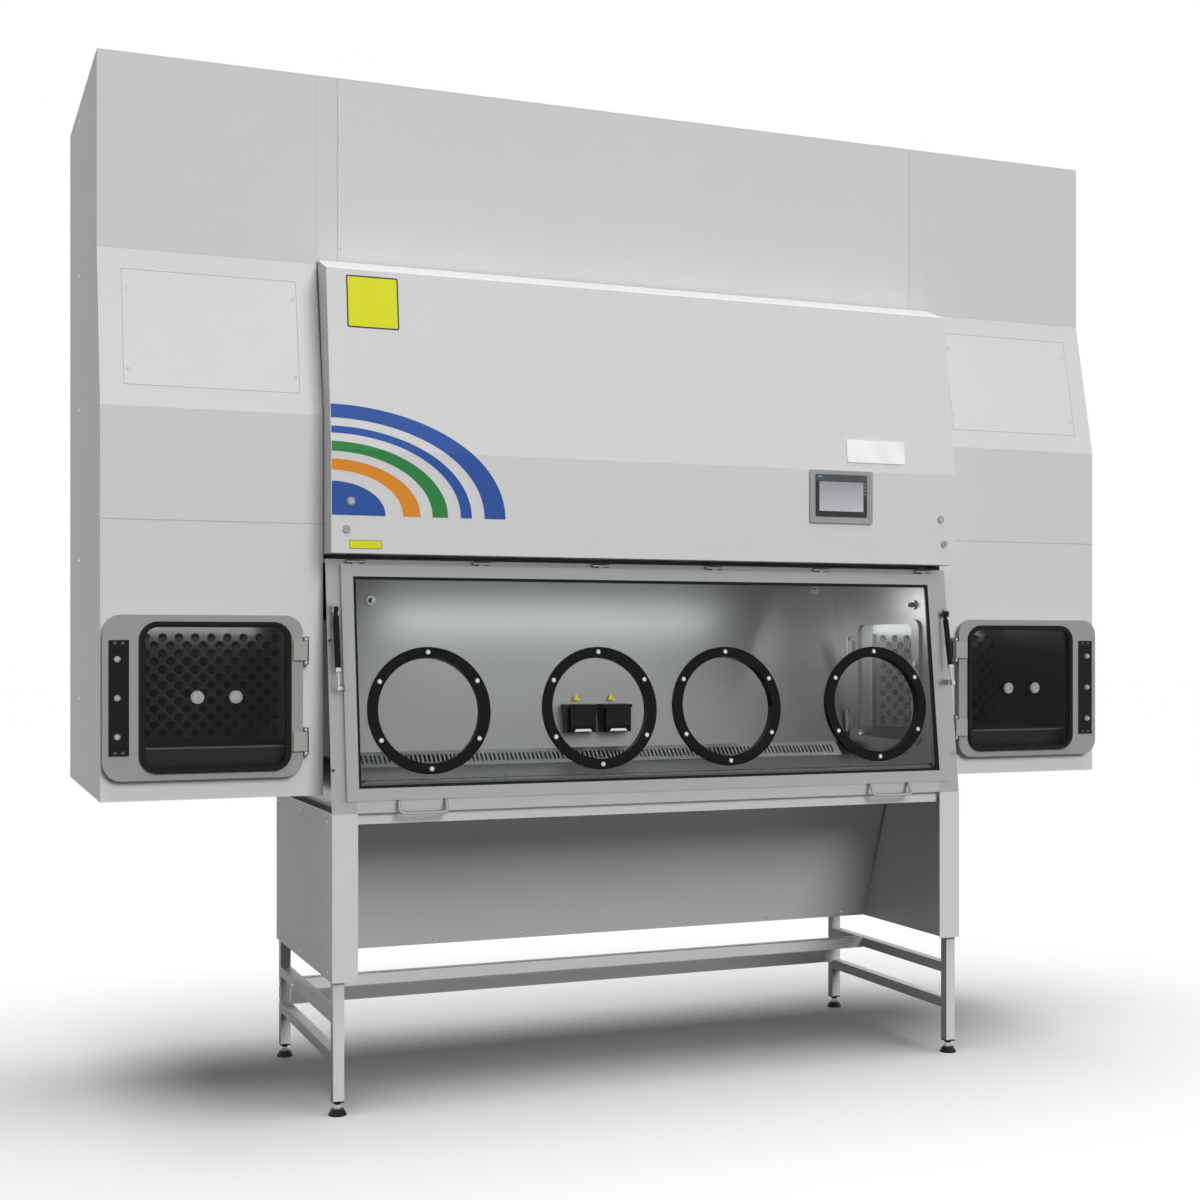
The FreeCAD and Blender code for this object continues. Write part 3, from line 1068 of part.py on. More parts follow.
def make_pass_boxes():
    """Housing and liner of each pass box, bent from sheets that meet along hairline seams."""
    x0 = TOWER_INNER_X
    x1 = HALF
    step = SHEET + SEAT_GAP
    seam = SIDE_SEAM_Y
    z0 = TOWER_BOTTOM_Z
    z1 = MIDDLE_BOTTOM_Z - SEAT_GAP / 2
    front = box(x0, x1, 0, SHEET, z0, z1).cut(door_opening(-1, SHEET + 1, OPENING_MARGINS, OPENING_CORNER))
    floor = box(x0, x1, step, seam, z0, z0 + SHEET)
    outer = box(x1 - SHEET, x1, step, seam, z0 + step, z1)
    housing = [front, floor, outer] + side_wall(x0, step, seam, z0 + step, z1)
    keep("passbox_housings", housing + [mirrored(sheet) for sheet in housing])

    lx = x0 + step
    rx = LINER_OUTER_X
    y0 = step
    y1 = LINER_REAR_Y
    low = LINER_BOTTOM_Z + step
    high = LINER_TOP_Z - step
    floor = box(lx, rx, y0, y1, LINER_BOTTOM_Z, LINER_BOTTOM_Z + SHEET)
    roof = box(lx, rx, y0, y1, LINER_TOP_Z - SHEET, LINER_TOP_Z)
    outer = box(rx - SHEET, rx, y0, y1, low, high)
    rear = box(lx + step, rx - step, y1 - SHEET, y1, low, high)
    half_w = (RIM_WIDTH - OPENING_MARGINS) / 2
    half_h = (RIM_HEIGHT - OPENING_MARGINS) / 2
    front = [box(a, c, y0, y0 + SHEET, b, d) for (a, b), (c, d) in
             strips((lx + step, low), (rx - step, high),
                    (WINDOW_X - half_w, DOOR_Z - half_h), (WINDOW_X + half_w, DOOR_Z + half_h))]
    liner = [floor, roof, outer, rear] + front + side_wall(lx, y0, y1, low, high)
    keep("passbox_liners", liner + [mirrored(sheet) for sheet in liner])

    inside = LINER_OUTER_X - SHEET - SEAT_GAP
    panel = box(PASS_PANEL_INNER_X, inside, PASS_PANEL_Y, PASS_PANEL_Y + SHEET,
                PASS_TRAY_Z + SHEET + SEAT_GAP, PASS_PANEL_TOP_Z)
    rim = box(PASS_PANEL_INNER_X, PASS_PANEL_INNER_X + SHEET, PASS_PANEL_Y,
              LINER_REAR_Y - SHEET - SEAT_GAP, PASS_TRAY_Z + SHEET + SEAT_GAP, PASS_PANEL_TOP_Z)
    tray_x = lx + SHEET + SEAT_GAP
    tray = box(tray_x, inside, PASS_TRAY_FRONT_Y, PASS_PANEL_Y + 10, PASS_TRAY_Z, PASS_TRAY_Z + SHEET)
    lip = box(tray_x, inside, PASS_TRAY_FRONT_Y, PASS_TRAY_FRONT_Y + SHEET,
              PASS_TRAY_Z - PASS_TRAY_LIP, PASS_TRAY_Z)
    runner = box(inside - 12, inside, PASS_TRAY_FRONT_Y, PASS_PANEL_Y + 10,
                 LINER_BOTTOM_Z + SHEET + SEAT_GAP, LINER_BOTTOM_Z + 2 * SHEET + SEAT_GAP)
    wall = box(inside - SHEET, inside, PASS_TRAY_FRONT_Y, PASS_PANEL_Y + 10,
               LINER_BOTTOM_Z + SHEET + SEAT_GAP, PASS_TRAY_Z)
    tray = fused([tray, lip, runner, wall])
    keep("passbox_trays_and_panels", both_sides(fused([panel, rim])) + both_sides(tray))


def door_hinge(door_face):
    """One door hinge about the Z axis: leaf along +X, room side along -Y. Fixed and moving half.

    door_face is the depth of the door's room-side face behind the hinge axis (negative in front).
    """
    r = HINGE_KNUCKLE_RADIUS
    half = HINGE_BLOCK / 2
    back = door_face - SEAT_GAP
    front = back - HINGE_LEAF
    pieces = [rod((0, 0, -half), Z_AXIS, r, HINGE_BLOCK),
              box(0, HINGE_REACH, front, back, -half, half)]
    if back < 0:
        pieces.append(box(0, r, front, 0, -half, half))
        pieces.append(box(-r, 0, front, 0, -half, half).common(
            rod((0, front + r, -half), Z_AXIS, r, HINGE_BLOCK)))
    bore = rod((0, 0, -half - 1), Z_AXIS, HINGE_PIN_RADIUS + PIN_CLEARANCE, HINGE_BLOCK + 2)
    moving = fused(pieces).cut(bore)
    outer = half + HINGE_SLACK + HINGE_KNUCKLE_LENGTH
    pieces = [rod((0, 0, -outer - 1), Z_AXIS, HINGE_PIN_RADIUS, 2 * outer + 2)]
    base_y0 = HINGE_OFFSET - HINGE_BASE
    base_y1 = HINGE_OFFSET - SEAT_GAP
    for low in (-outer, half + HINGE_SLACK):
        pieces.append(rod((0, 0, low), Z_AXIS, r, HINGE_KNUCKLE_LENGTH))
        pieces.append(box(-r, r, 0, base_y1, low, low + HINGE_KNUCKLE_LENGTH))
    pieces.append(box(-r - 3, r, base_y0, base_y1, -outer, outer))
    return fused(pieces), moving


def outer_hinges():
    fixed, moving = door_hinge(DOOR_BACK_Y - DOOR_THICKNESS + HINGE_OFFSET)
    pairs = []
    for z in (DOOR_Z - HINGE_RISE, DOOR_Z + HINGE_RISE):
        move = Vector(HINGE_AXIS_X, -HINGE_OFFSET, z)
        pairs.append([shape.translated(move) for shape in (fixed, moving)])
    return pairs


def inner_hinges():
    fixed, moving = door_hinge(HINGE_OFFSET - SEAT_GAP - INNER_DOOR_THICKNESS)
    pairs = []
    for z in (INNER_HINGE_LOW_Z, INNER_HINGE_HIGH_Z):
        turned = []
        for shape in (fixed, moving):
            copy = shape.copy()
            copy.rotate(Vector(0, 0, 0), Z_AXIS, -90)
            copy.translate(Vector(INNER_HALF - HINGE_OFFSET, INNER_AXIS_Y, z))
            turned.append(copy)
        pairs.append(turned)
    return pairs


def make_outer_doors():
    """Pass-box doors: grey plate, black window rim, glass, black lock strip and steel hardware."""
    front_y0 = DOOR_BACK_Y - DOOR_THICKNESS
    leaf = rounded_plate(DOOR_WIDTH, DOOR_HEIGHT, DOOR_CORNER, DOOR_THICKNESS, (DOOR_X, front_y0, DOOR_Z))
    clear = 2 * WINDOW_RIM_WIDTH
    seat = door_opening(front_y0 - 1, DOOR_BACK_Y + 1, clear, WINDOW_CORNER - WINDOW_RIM_WIDTH)
    leaf = leaf.cut(seat)
    rim_y = front_y0 - WINDOW_RIM_PROUD
    rim = door_opening(rim_y, front_y0 - SEAT_GAP, 0, WINDOW_CORNER)
    rim = rim.cut(door_opening(rim_y - 1, front_y0, clear + 8, WINDOW_CORNER - WINDOW_RIM_WIDTH - 4))
    strip = box(STRIP_X - STRIP_WIDTH / 2, STRIP_X + STRIP_WIDTH / 2, front_y0 - STRIP_THICKNESS,
                front_y0 - SEAT_GAP, DOOR_Z - STRIP_HEIGHT / 2, DOOR_Z + STRIP_HEIGHT / 2)
    seal = rounded_plate(DOOR_WIDTH - 14, DOOR_HEIGHT - 14, DOOR_CORNER - 7, -DOOR_BACK_Y - 2 * SEAT_GAP,
                         (DOOR_X + 1, DOOR_BACK_Y + SEAT_GAP, DOOR_Z))
    seal = seal.cut(door_opening(DOOR_BACK_Y - 1, 1, OPENING_MARGINS - 4, OPENING_CORNER + 2))
    trims = [rim, strip, seal]
    pane_gap = SEAT_GAP
    pane = door_opening(front_y0 + 1, front_y0 + 1 + DOOR_PANE_THICKNESS, clear + 2 * pane_gap,
                        WINDOW_CORNER - WINDOW_RIM_WIDTH - pane_gap)
    hardware = [pair[1] for pair in outer_hinges()]
    for step in (-1, 0, 1):
        z = DOOR_Z + step * LOCK_PITCH
        dome = rod((STRIP_X + 4, front_y0 - STRIP_THICKNESS - SEAT_GAP, z), -Y_AXIS, LOCK_RADIUS, LOCK_HEIGHT)
        edge = [e for e in dome.Edges if e.BoundBox.YMax < front_y0 - STRIP_THICKNESS - LOCK_HEIGHT]
        hardware.append(dome.makeChamfer(LOCK_HEIGHT * 0.5, edge))
    fitting_y = front_y0 + 1 - FITTING_PROUD
    for step in (-0.5, 0.5):
        x = WINDOW_X + step * FITTING_PITCH
        disc = rod((x, front_y0 + 1 - SEAT_GAP, DOOR_Z), -Y_AXIS, FITTING_RADIUS, FITTING_PROUD)
        hardware.append(disc.cut(rod((x, fitting_y - 1, DOOR_Z), Y_AXIS, FITTING_RADIUS * 0.4, 4)))
    sides = (("right", lambda shape: shape), ("left", mirrored))
    for name, turn in sides:
        keep("%s_door_leaf" % name, turn(leaf))
        keep("%s_door_trim" % name, [turn(s) for s in trims])
        keep("%s_door_pane" % name, turn(pane))
        keep("%s_door_hardware" % name, [turn(s) for s in hardware])


def inner_plate(x0, x1, front, rear, low, high, corner):
    plate = rounded_plate(rear - front, high - low, corner, x1 - x0)
    plate.rotate(Vector(0, 0, 0), Z_AXIS, -90)
    plate.translate(Vector(x0, (front + rear) / 2, (low + high) / 2))
    return plate


def make_inner_doors():
    x1 = INNER_HALF - SEAT_GAP
    x0 = x1 - INNER_DOOR_THICKNESS
    rear = INNER_AXIS_Y - 9
    leaf = inner_plate(x0, x1, INNER_DOOR_FRONT_Y, rear, INNER_DOOR_BOTTOM_Z, INNER_DOOR_TOP_Z,
                       INNER_DOOR_CORNER)
    hole = inner_plate(x0 - 1, x1 + 1, INNER_WINDOW_FRONT_Y, INNER_WINDOW_REAR_Y,
                       INNER_WINDOW_BOTTOM_Z, INNER_WINDOW_TOP_Z, INNER_DOOR_CORNER - 8)
    bore = rod((x0 - 1, KNOB_Y, KNOB_Z), X_AXIS, KNOB_SHAFT_RADIUS + PIN_CLEARANCE, INNER_DOOR_THICKNESS - 2)
    leaf = leaf.cut([hole, bore])
    g = SEAT_GAP
    pane = inner_plate(x0 + 2, x1 - 2, INNER_WINDOW_FRONT_Y + g, INNER_WINDOW_REAR_Y - g,
                       INNER_WINDOW_BOTTOM_Z + g, INNER_WINDOW_TOP_Z - g, INNER_DOOR_CORNER - 8 - g)
    hinges = [pair[1] for pair in inner_hinges()]
    knob = rod((x0 - SEAT_GAP, KNOB_Y, KNOB_Z), -X_AXIS, KNOB_RADIUS, 9)
    wing = box(x0 - SEAT_GAP - 22, x0 - SEAT_GAP - 8, KNOB_Y - 4, KNOB_Y + 4, KNOB_Z - 16, KNOB_Z + 16)
    shaft = rod((x0 - SEAT_GAP - 1, KNOB_Y, KNOB_Z), X_AXIS, KNOB_SHAFT_RADIUS, INNER_DOOR_THICKNESS - 3)
    knob = fused([knob, wing, shaft])
    for name, turn in (("right", lambda shape: shape), ("left", mirrored)):
        keep("%s_inner_door" % name, [turn(s) for s in [leaf] + hinges])
        keep("%s_inner_pane" % name, turn(pane))
        keep("%s_inner_knob" % name, turn(knob))


def make_pivots():
    """Everything that the moving pieces turn on, fixed to the body, and the window's own halves."""
    fixed, moving = window_hinges()
    for pair in outer_hinges() + inner_hinges():
        fixed += both_sides(pair[0])
    upper, lower = spring_brackets()
    fixed += both_sides(upper)
    fixed += both_sides(fascia_pins())
    keep("fixed_pivots", fixed)
    keep("window_pivots", moving + both_sides(lower))


def make_all():
    make_stand()
    make_leg_caps()
    make_feet()
    make_skirts()
    make_chamber()
    make_base()
    make_rear_wall()
    make_work_tray()
    make_lamp()
    make_sockets()
    make_spray_fittings()
    make_window()
    make_handles()
    make_gas_springs()
    make_pivots()
    make_fascia()
    make_touch_panel()
    keep("cam_lock_left", cam_lock(-CAM_X))
    keep("cam_lock_right", cam_lock(CAM_X))
    make_centre_housing()
    make_air_handling()
    make_towers()
    make_pass_boxes()
    make_outer_doors()
    make_inner_doors()


def depth_range():
    low = min(s.BoundBox.YMin for shapes in PARTS.values() for s in shapes)
    high = max(s.BoundBox.YMax for shapes in PARTS.values() for s in shapes)
    return low, high


make_all()
FRONT, BACK = depth_range()
DEPTH_SHIFT = -(FRONT + BACK) / 2
os.makedirs("parts", exist_ok=True)
for node, solids in PARTS.items():
    whole = solids[0] if len(solids) == 1 else Part.makeCompound(solids)
    placed = whole.copy()
    placed.translate(Vector(0, DEPTH_SHIFT, 0))
    placed.exportStep("parts/%s.step" % node)
print("nodes", len(PARTS), "depth shift", round(DEPTH_SHIFT, 3))
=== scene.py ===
import logging
import math
from dataclasses import dataclass
from enum import Enum
from typing import Callable, ClassVar, Sequence

import bmesh
import bpy
from mathutils import Matrix, Vector


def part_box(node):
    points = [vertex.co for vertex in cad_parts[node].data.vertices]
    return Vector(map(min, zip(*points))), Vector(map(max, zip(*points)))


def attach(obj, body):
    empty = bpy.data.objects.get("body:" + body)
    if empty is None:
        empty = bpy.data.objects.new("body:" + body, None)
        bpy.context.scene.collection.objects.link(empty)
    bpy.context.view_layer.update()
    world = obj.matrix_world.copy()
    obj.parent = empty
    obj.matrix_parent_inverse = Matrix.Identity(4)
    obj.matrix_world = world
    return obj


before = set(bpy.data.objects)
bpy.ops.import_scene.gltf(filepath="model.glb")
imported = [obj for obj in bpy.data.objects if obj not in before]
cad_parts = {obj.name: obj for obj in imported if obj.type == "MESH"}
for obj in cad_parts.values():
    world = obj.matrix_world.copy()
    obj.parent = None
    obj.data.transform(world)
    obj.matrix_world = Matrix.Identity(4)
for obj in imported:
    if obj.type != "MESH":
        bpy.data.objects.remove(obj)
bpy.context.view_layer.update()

log = logging.getLogger("isolator")

Colour = tuple[float, float, float]

# Places that several pieces share, in the source's millimetres and in radians
DEPTH_SHIFT = -396.407
WINDOW_LEAN = 0.12
WINDOW_FOOT_Y = -84.3
WINDOW_FOOT_Z = 1077.3
FASCIA_Y = -92.1
CREASE_Z = 1777.4
FASCIA_LEAN = 0.12553
CLEAR = 0.05

STAND = "isolator"
SIDES = (("left", -1), ("right", 1))


def at(x: float, y: float, z: float) -> Vector:
    """Turns a point in the source's millimetres into metres of the shared frame.

    Args:
        x: Width from the middle of the machine.
        y: Depth from the towers' lower front face, into the machine.
        z: Height above the floor.

    Returns:
        The point in metres.
    """
    return Vector((x, y + DEPTH_SHIFT, z)) / 1000


def on_window(x: float, rise: float, proud: float) -> Vector:
    """Finds a point on the leaning window, from its own height and its distance in front of it."""
    lean, up = math.sin(WINDOW_LEAN), math.cos(WINDOW_LEAN)
    return at(x, WINDOW_FOOT_Y + rise * lean - proud * up, WINDOW_FOOT_Z + rise * up + proud * lean)


class Facing(Enum):
    """Directions in which the machine's faces look."""

    FRONT = (0.0, -1.0, 0.0)
    BACK = (0.0, 1.0, 0.0)
    LEFT = (-1.0, 0.0, 0.0)
    RIGHT = (1.0, 0.0, 0.0)
    UP = (0.0, 0.0, 1.0)
    WINDOW = (0.0, -0.99281, 0.11971)
    FASCIA_SLOPE = (0.0, -0.99221, 0.12455)
    TOWER_SLOPE = (0.0, -0.98119, 0.19302)
    KNEE_PANEL = (0.0, -0.94, -0.34)

    @property
    def normal(self) -> Vector:
        """The direction as a vector."""
        return Vector(self.value)

    @classmethod
    def outward(cls, sign: int) -> "Facing":
        """The outer side on the left, for -1, or on the right, for 1."""
        return cls.LEFT if sign < 0 else cls.RIGHT


class Grain(Enum):
    """Directions of the polishing marks in sheet metal, as scales that stretch a noise."""

    ACROSS = (1.5, 160.0, 160.0)
    UPRIGHT = (160.0, 160.0, 1.5)
    BLASTED = (90.0, 90.0, 90.0)


# Shader writing

def math_method(operation: str, reflected: bool = False) -> Callable[..., "Signal"]:
    """Writes an arithmetic method of Signal, which adds one Math node.

    Args:
        operation: What the node does.
        reflected: Whether the other operand comes first.

    Returns:
        The method.
    """
    def method(self: "Signal", other: "Signal | float" = 0.0) -> "Signal":
        """Joins the signal with the other operand.

        Args:
            self: The signal.
            other: A signal or a number.

        Returns:
            The result.
        """
        pair = (other, self) if reflected else (self, other)
        made = self.recipe.node("ShaderNodeMath", {"operation": operation}, dict(enumerate(pair)))
        return Signal(self.recipe, made.outputs[0])

    return method


@dataclass(frozen=True)
class Signal:
    """A number that varies over a surface and takes part in ordinary arithmetic."""

    recipe: "Recipe"
    socket: bpy.types.NodeSocket

    __add__ = __radd__ = math_method("ADD")
    __sub__ = math_method("SUBTRACT")
    __rsub__ = math_method("SUBTRACT", reflected=True)
    __mul__ = __rmul__ = math_method("MULTIPLY")
    __truediv__ = math_method("DIVIDE")
    __pow__ = math_method("POWER")
    __mod__ = math_method("FLOORED_MODULO")
    __gt__ = math_method("GREATER_THAN")
    __lt__ = math_method("LESS_THAN")
    __abs__ = math_method("ABSOLUTE")

    def between(self, low: float, high: float) -> "Signal":
        """1 between two limits."""
        return (self > low) * (self < high)


class Recipe:
    """The node tree of one finish while it is written."""

    def __init__(self, name: str, world: bpy.types.World | None = None) -> None:
        """Starts from an empty tree.

        Args:
            name: Name of a new material.
            world: The world to empty instead, if one is given.
        """
        self.host = world or bpy.data.materials.new(name)
        self.output = "ShaderNodeOutputWorld" if world else "ShaderNodeOutputMaterial"
        self.host.use_nodes = True
        self.tree = self.host.node_tree
        self.tree.nodes.clear()

    def node(self, kind: str, settings: dict | None = None, inputs: dict | None = None) -> bpy.types.Node:
        """Adds a node, sets it up and feeds its sockets.

        Args:
            kind: Node type.
            settings: Properties set first; "stops" fills a colour ramp.
            inputs: Values, signals or sockets for its inputs, by name or number.

        Returns:
            The node.
        """
        made = self.tree.nodes.new(kind)
        for name, value in (settings or {}).items():
            if name == "stops":
                for i, (position, colour) in enumerate(value):
                    stops = made.color_ramp.elements
                    stop = stops[i] if i < 2 else stops.new(position)
                    stop.position = position
                    stop.color = (*colour, 1.0)
            elif name == "interpolation":
                made.color_ramp.interpolation = value
            else:
                setattr(made, name, value)
        for key, value in (inputs or {}).items():
            source = value.socket if isinstance(value, Signal) else value
            target = made.inputs[key]
            if isinstance(source, bpy.types.NodeSocket):
                self.tree.links.new(source, target)
            elif target.type == "RGBA" and len(source) == 3:
                target.default_value = (*source, 1.0)
            else:
                target.default_value = source
        return made

    def axes(self) -> tuple[Signal, Signal, Signal]:
        """Measures the place on the machine.

        Returns:
            Width, depth and height in metres.
        """
        place = self.node("ShaderNodeTexCoord").outputs["Object"]
        split = self.node("ShaderNodeSeparateXYZ", inputs={0: place})
        return tuple(Signal(self, out) for out in split.outputs)

    def seen(self) -> Signal:
        """Tells the rays that see a surface from the rays that light the others.

        Returns:
            1 for the rays of the camera, of gloss and of glass, otherwise 0.
        """
        light = self.node("ShaderNodeLightPath")
        camera, gloss, through = (Signal(self, light.outputs["Is %s Ray" % kind])
                                  for kind in ("Camera", "Glossy", "Transmission"))
        return camera + gloss + through

    def noise(self, scale: float, detail: float = 3.0,
              stretch: Colour = (1.0, 1.0, 1.0)) -> Signal:
        """Soft random spots, from 0 to 1.

        Args:
            scale: Spots per metre before the stretch.
            detail: Levels of finer spots.
            stretch: Scale along each axis, for marks with a direction.

        Returns:
            The signal.
        """
        place = self.node("ShaderNodeTexCoord").outputs["Object"]
        laid = self.node("ShaderNodeMapping", inputs={"Vector": place, "Scale": stretch})
        made = self.node("ShaderNodeTexNoise", inputs={
            "Vector": laid.outputs[0], "Scale": scale, "Detail": detail, "Roughness": 0.55})
        return Signal(self, made.outputs[0])

    def mix(self, amount: Signal | float, low: object, high: object) -> bpy.types.NodeSocket:
        """Blends two colours by an amount from 0 to 1."""
        made = self.node("ShaderNodeMix", {"data_type": "RGBA", "clamp_factor": True},
                         {0: amount, 6: low, 7: high})
        return made.outputs[2]

    def bump(self, height: Signal, distance: float, strength: float = 0.5) -> bpy.types.NodeSocket:
        """Turns a height signal into a surface normal."""
        made = self.node("ShaderNodeBump", inputs={
            "Strength": strength, "Distance": distance, "Height": height})
        return made.outputs[0]

    def close(self, surface: bpy.types.NodeSocket) -> bpy.types.Material | bpy.types.World:
        """Plugs a shader into the output and hands the material or the world over."""
        self.node(self.output, inputs={"Surface": surface})
        return self.host

    def surface(self, **sockets: object) -> bpy.types.Material:
        """Finishes with a Principled shader; underscores in the names stand for spaces."""
        named = {key.replace("_", " "): value for key, value in sockets.items()}
        return self.close(self.node("ShaderNodeBsdfPrincipled", inputs=named).outputs[0])


def grey(level: float) -> Colour:
    """A colour with the same level in all three parts."""
    return (level, level, level)


def shade(colour: Colour, factor: float) -> Colour:
    """A colour made darker or lighter."""
    return tuple(min(1.0, part * factor) for part in colour)


@dataclass(frozen=True)
class Finish:
    """A finish that is mixed once and then used wherever it is named."""

    name: str
    colour: Colour = (0.6, 0.6, 0.6)
    roughness: float = 0.4

    shelf: ClassVar[dict[str, bpy.types.Material]] = {}

    def write(self, recipe: Recipe) -> bpy.types.Material:
        """Writes the node tree; each kind of finish has its own.

        Args:
            recipe: The empty tree.

        Returns:
            The material.
        """
        raise NotImplementedError

    def material(self) -> bpy.types.Material:
        """Mixes the finish at its first use and takes it from the shelf later.

        Returns:
            The material.
        """
        if self.name not in self.shelf:
            self.shelf[self.name] = self.write(Recipe(self.name))
        return self.shelf[self.name]


@dataclass(frozen=True)
class PowderCoat(Finish):
    """Satin powder coat: fine peel, slow drift of tone and a little handling sheen."""

    peel: float = 0.00004

    def write(self, recipe: Recipe) -> bpy.types.Material:
        """Writes the node tree.

        Args:
            recipe: The empty tree.

        Returns:
            The material.
        """
        drift = recipe.noise(1.3, 2.0)
        cloud = recipe.noise(11.0, 5.0)
        peel = recipe.noise(420.0, 2.0)
        tone = drift * 0.55 + cloud * 0.35 + peel * 0.10
        rough = cloud * 0.10 + peel * 0.05 + (self.roughness - 0.07)
        return recipe.surface(
            Base_Color=recipe.mix(tone, shade(self.colour, 0.955), shade(self.colour, 1.035)),
            Roughness=rough, Specular_IOR_Level=0.35, Normal=recipe.bump(peel, self.peel, 0.35))


@dataclass(frozen=True)
class Steel(Finish):
    """Stainless steel with polishing marks along its grain, or blasted to a satin."""

    grain: Grain = Grain.ACROSS
    depth: float = 0.00003

    def write(self, recipe: Recipe) -> bpy.types.Material:
        """Writes the node tree.

        Args:
            recipe: The empty tree.

        Returns:
            The material.
        """
        mark = recipe.noise(4.0, 4.0, self.grain.value)
        cloud = recipe.noise(3.5, 4.0)
        tone = mark * 0.6 + cloud * 0.4
        rough = mark * 0.16 + cloud * 0.10 + (self.roughness - 0.13)
        return recipe.surface(
            Base_Color=recipe.mix(tone, shade(self.colour, 0.88), shade(self.colour, 1.10)),
            Metallic=1.0, Roughness=rough, Normal=recipe.bump(mark, self.depth, 0.4))


@dataclass(frozen=True)
class Moulded(Finish):
    """Moulded plastic or rubber with a fine spark-eroded grain."""

    coat: float = 0.0
    specular: float = 0.5
    grit: float = 650.0

    def write(self, recipe: Recipe) -> bpy.types.Material:
        """Writes the node tree.

        Args:
            recipe: The empty tree.

        Returns:
            The material.
        """
        grit = recipe.noise(self.grit, 3.0)
        cloud = recipe.noise(14.0, 4.0)
        rough = cloud * 0.12 + grit * 0.06 + (self.roughness - 0.09)
        return recipe.surface(
            Base_Color=recipe.mix(cloud, shade(self.colour, 0.8), shade(self.colour, 1.25)),
            Roughness=rough, Specular_IOR_Level=self.specular, Coat_Weight=self.coat,
            Coat_Roughness=0.08, Normal=recipe.bump(grit, 0.00005, 0.3))


@dataclass(frozen=True)
class Glazing(Finish):
    """Clear safety glass: see-through, with the sheen that grows towards a grazing view."""

    sheen: float = 0.7

    def write(self, recipe: Recipe) -> bpy.types.Material:
        """Writes the node tree.

        Args:
            recipe: The empty tree.

        Returns:
            The material.
        """
        smear = recipe.noise(5.0, 4.0)
        glint = Signal(recipe, recipe.node("ShaderNodeFresnel", inputs={"IOR": 1.45}).outputs[0])
        clear = recipe.node("ShaderNodeBsdfTransparent", inputs={"Color": self.colour})
        gloss = recipe.node("ShaderNodeBsdfGlossy", inputs={"Roughness": self.roughness})
        amount = glint * self.sheen + smear * 0.006
        made = recipe.node("ShaderNodeMixShader", inputs={
            0: amount, 1: clear.outputs[0], 2: gloss.outputs[0]})
        return recipe.close(made.outputs[0])


@dataclass(frozen=True)
class Diffuser(Finish):
    """Opal cover of the work lamp, glowing evenly."""

    glow: float = 2.5

    def write(self, recipe: Recipe) -> bpy.types.Material:
        """Writes the node tree.

        Args:
            recipe: The empty tree.

        Returns:
            The material.
        """
        cloud = recipe.noise(30.0, 2.0)
        lit = recipe.mix(cloud, shade(self.colour, 0.92), self.colour)
        return recipe.surface(Base_Color=lit, Roughness=self.roughness,
                              Emission_Color=lit, Emission_Strength=self.glow)


@dataclass(frozen=True)
class PleatedMedia(Finish):
    """Folded filter paper in a cell, with painted shade in the valleys of its pleats."""

    pleats_per_metre: float = 166.0

    def write(self, recipe: Recipe) -> bpy.types.Material:
        """Writes the node tree.

        Args:
            recipe: The empty tree.

        Returns:
            The material.
        """
        x, _, _ = recipe.axes()
        pleat_height_and_shade = abs((x * self.pleats_per_metre) % 1.0 - 0.5) * 2.0
        # The pleat height also darkens the paper in each valley: painted shade.
        return recipe.surface(Base_Color=recipe.mix(pleat_height_and_shade, shade(self.colour, 0.6), self.colour),
                              Roughness=self.roughness, Normal=recipe.bump(pleat_height_and_shade, 0.004, 1.0))


@dataclass(frozen=True)
class ArcFilm(Finish):
    """Printed film with nested arcs in five bands; nothing is printed between them."""

    centre_x: float = -0.9735
    centre_z: float = 1.604
    reach_x: float = 0.486
    reach_z: float = 0.296

    def write(self, recipe: Recipe) -> bpy.types.Material:
        """Writes the node tree.

        Args:
            recipe: The empty tree.

        Returns:
            The material.
        """
        x, _, z = recipe.axes()
        across = (x - self.centre_x) / self.reach_x
        along = (z - self.centre_z) / self.reach_z
        radius = (across * across + along * along) ** 0.5
        blue, green, orange = (0.010, 0.067, 0.290), (0.010, 0.170, 0.035), (0.66, 0.230, 0.014)
        stops = [(0.0, blue), (0.36, orange), (0.545, green), (0.70, blue), (0.85, blue)]
        ink = recipe.node("ShaderNodeValToRGB", {"interpolation": "CONSTANT", "stops": stops},
                          {0: radius})
        shown = radius < 0.30
        for low, high in ((0.40, 0.50), (0.57, 0.66), (0.735, 0.80), (0.875, 1.0)):
            shown = shown + radius.between(low, high)
        grit = recipe.noise(500.0, 2.0)
        return recipe.surface(Base_Color=ink.outputs[0], Roughness=grit * 0.08 + 0.30,
                              Alpha=shown)


@dataclass(frozen=True)
class SignFilm(Finish):
    """Plain coloured label with a thin dark border and nothing on it."""

    centre: tuple[float, float] = (0.0, 0.0)
    half: tuple[float, float] = (0.05, 0.05)
    border: float = 0.003

    def write(self, recipe: Recipe) -> bpy.types.Material:
        """Writes the node tree.

        Args:
            recipe: The empty tree.

        Returns:
            The material.
        """
        x, _, z = recipe.axes()
        side = abs(x - self.centre[0]) > (self.half[0] - self.border)
        ends = abs(z - self.centre[1]) > (self.half[1] - self.border)
        grit = recipe.noise(300.0, 2.0)
        return recipe.surface(Base_Color=recipe.mix(side + ends, self.colour, (0.02, 0.02, 0.02)),
                              Roughness=grit * 0.1 + (self.roughness - 0.05))


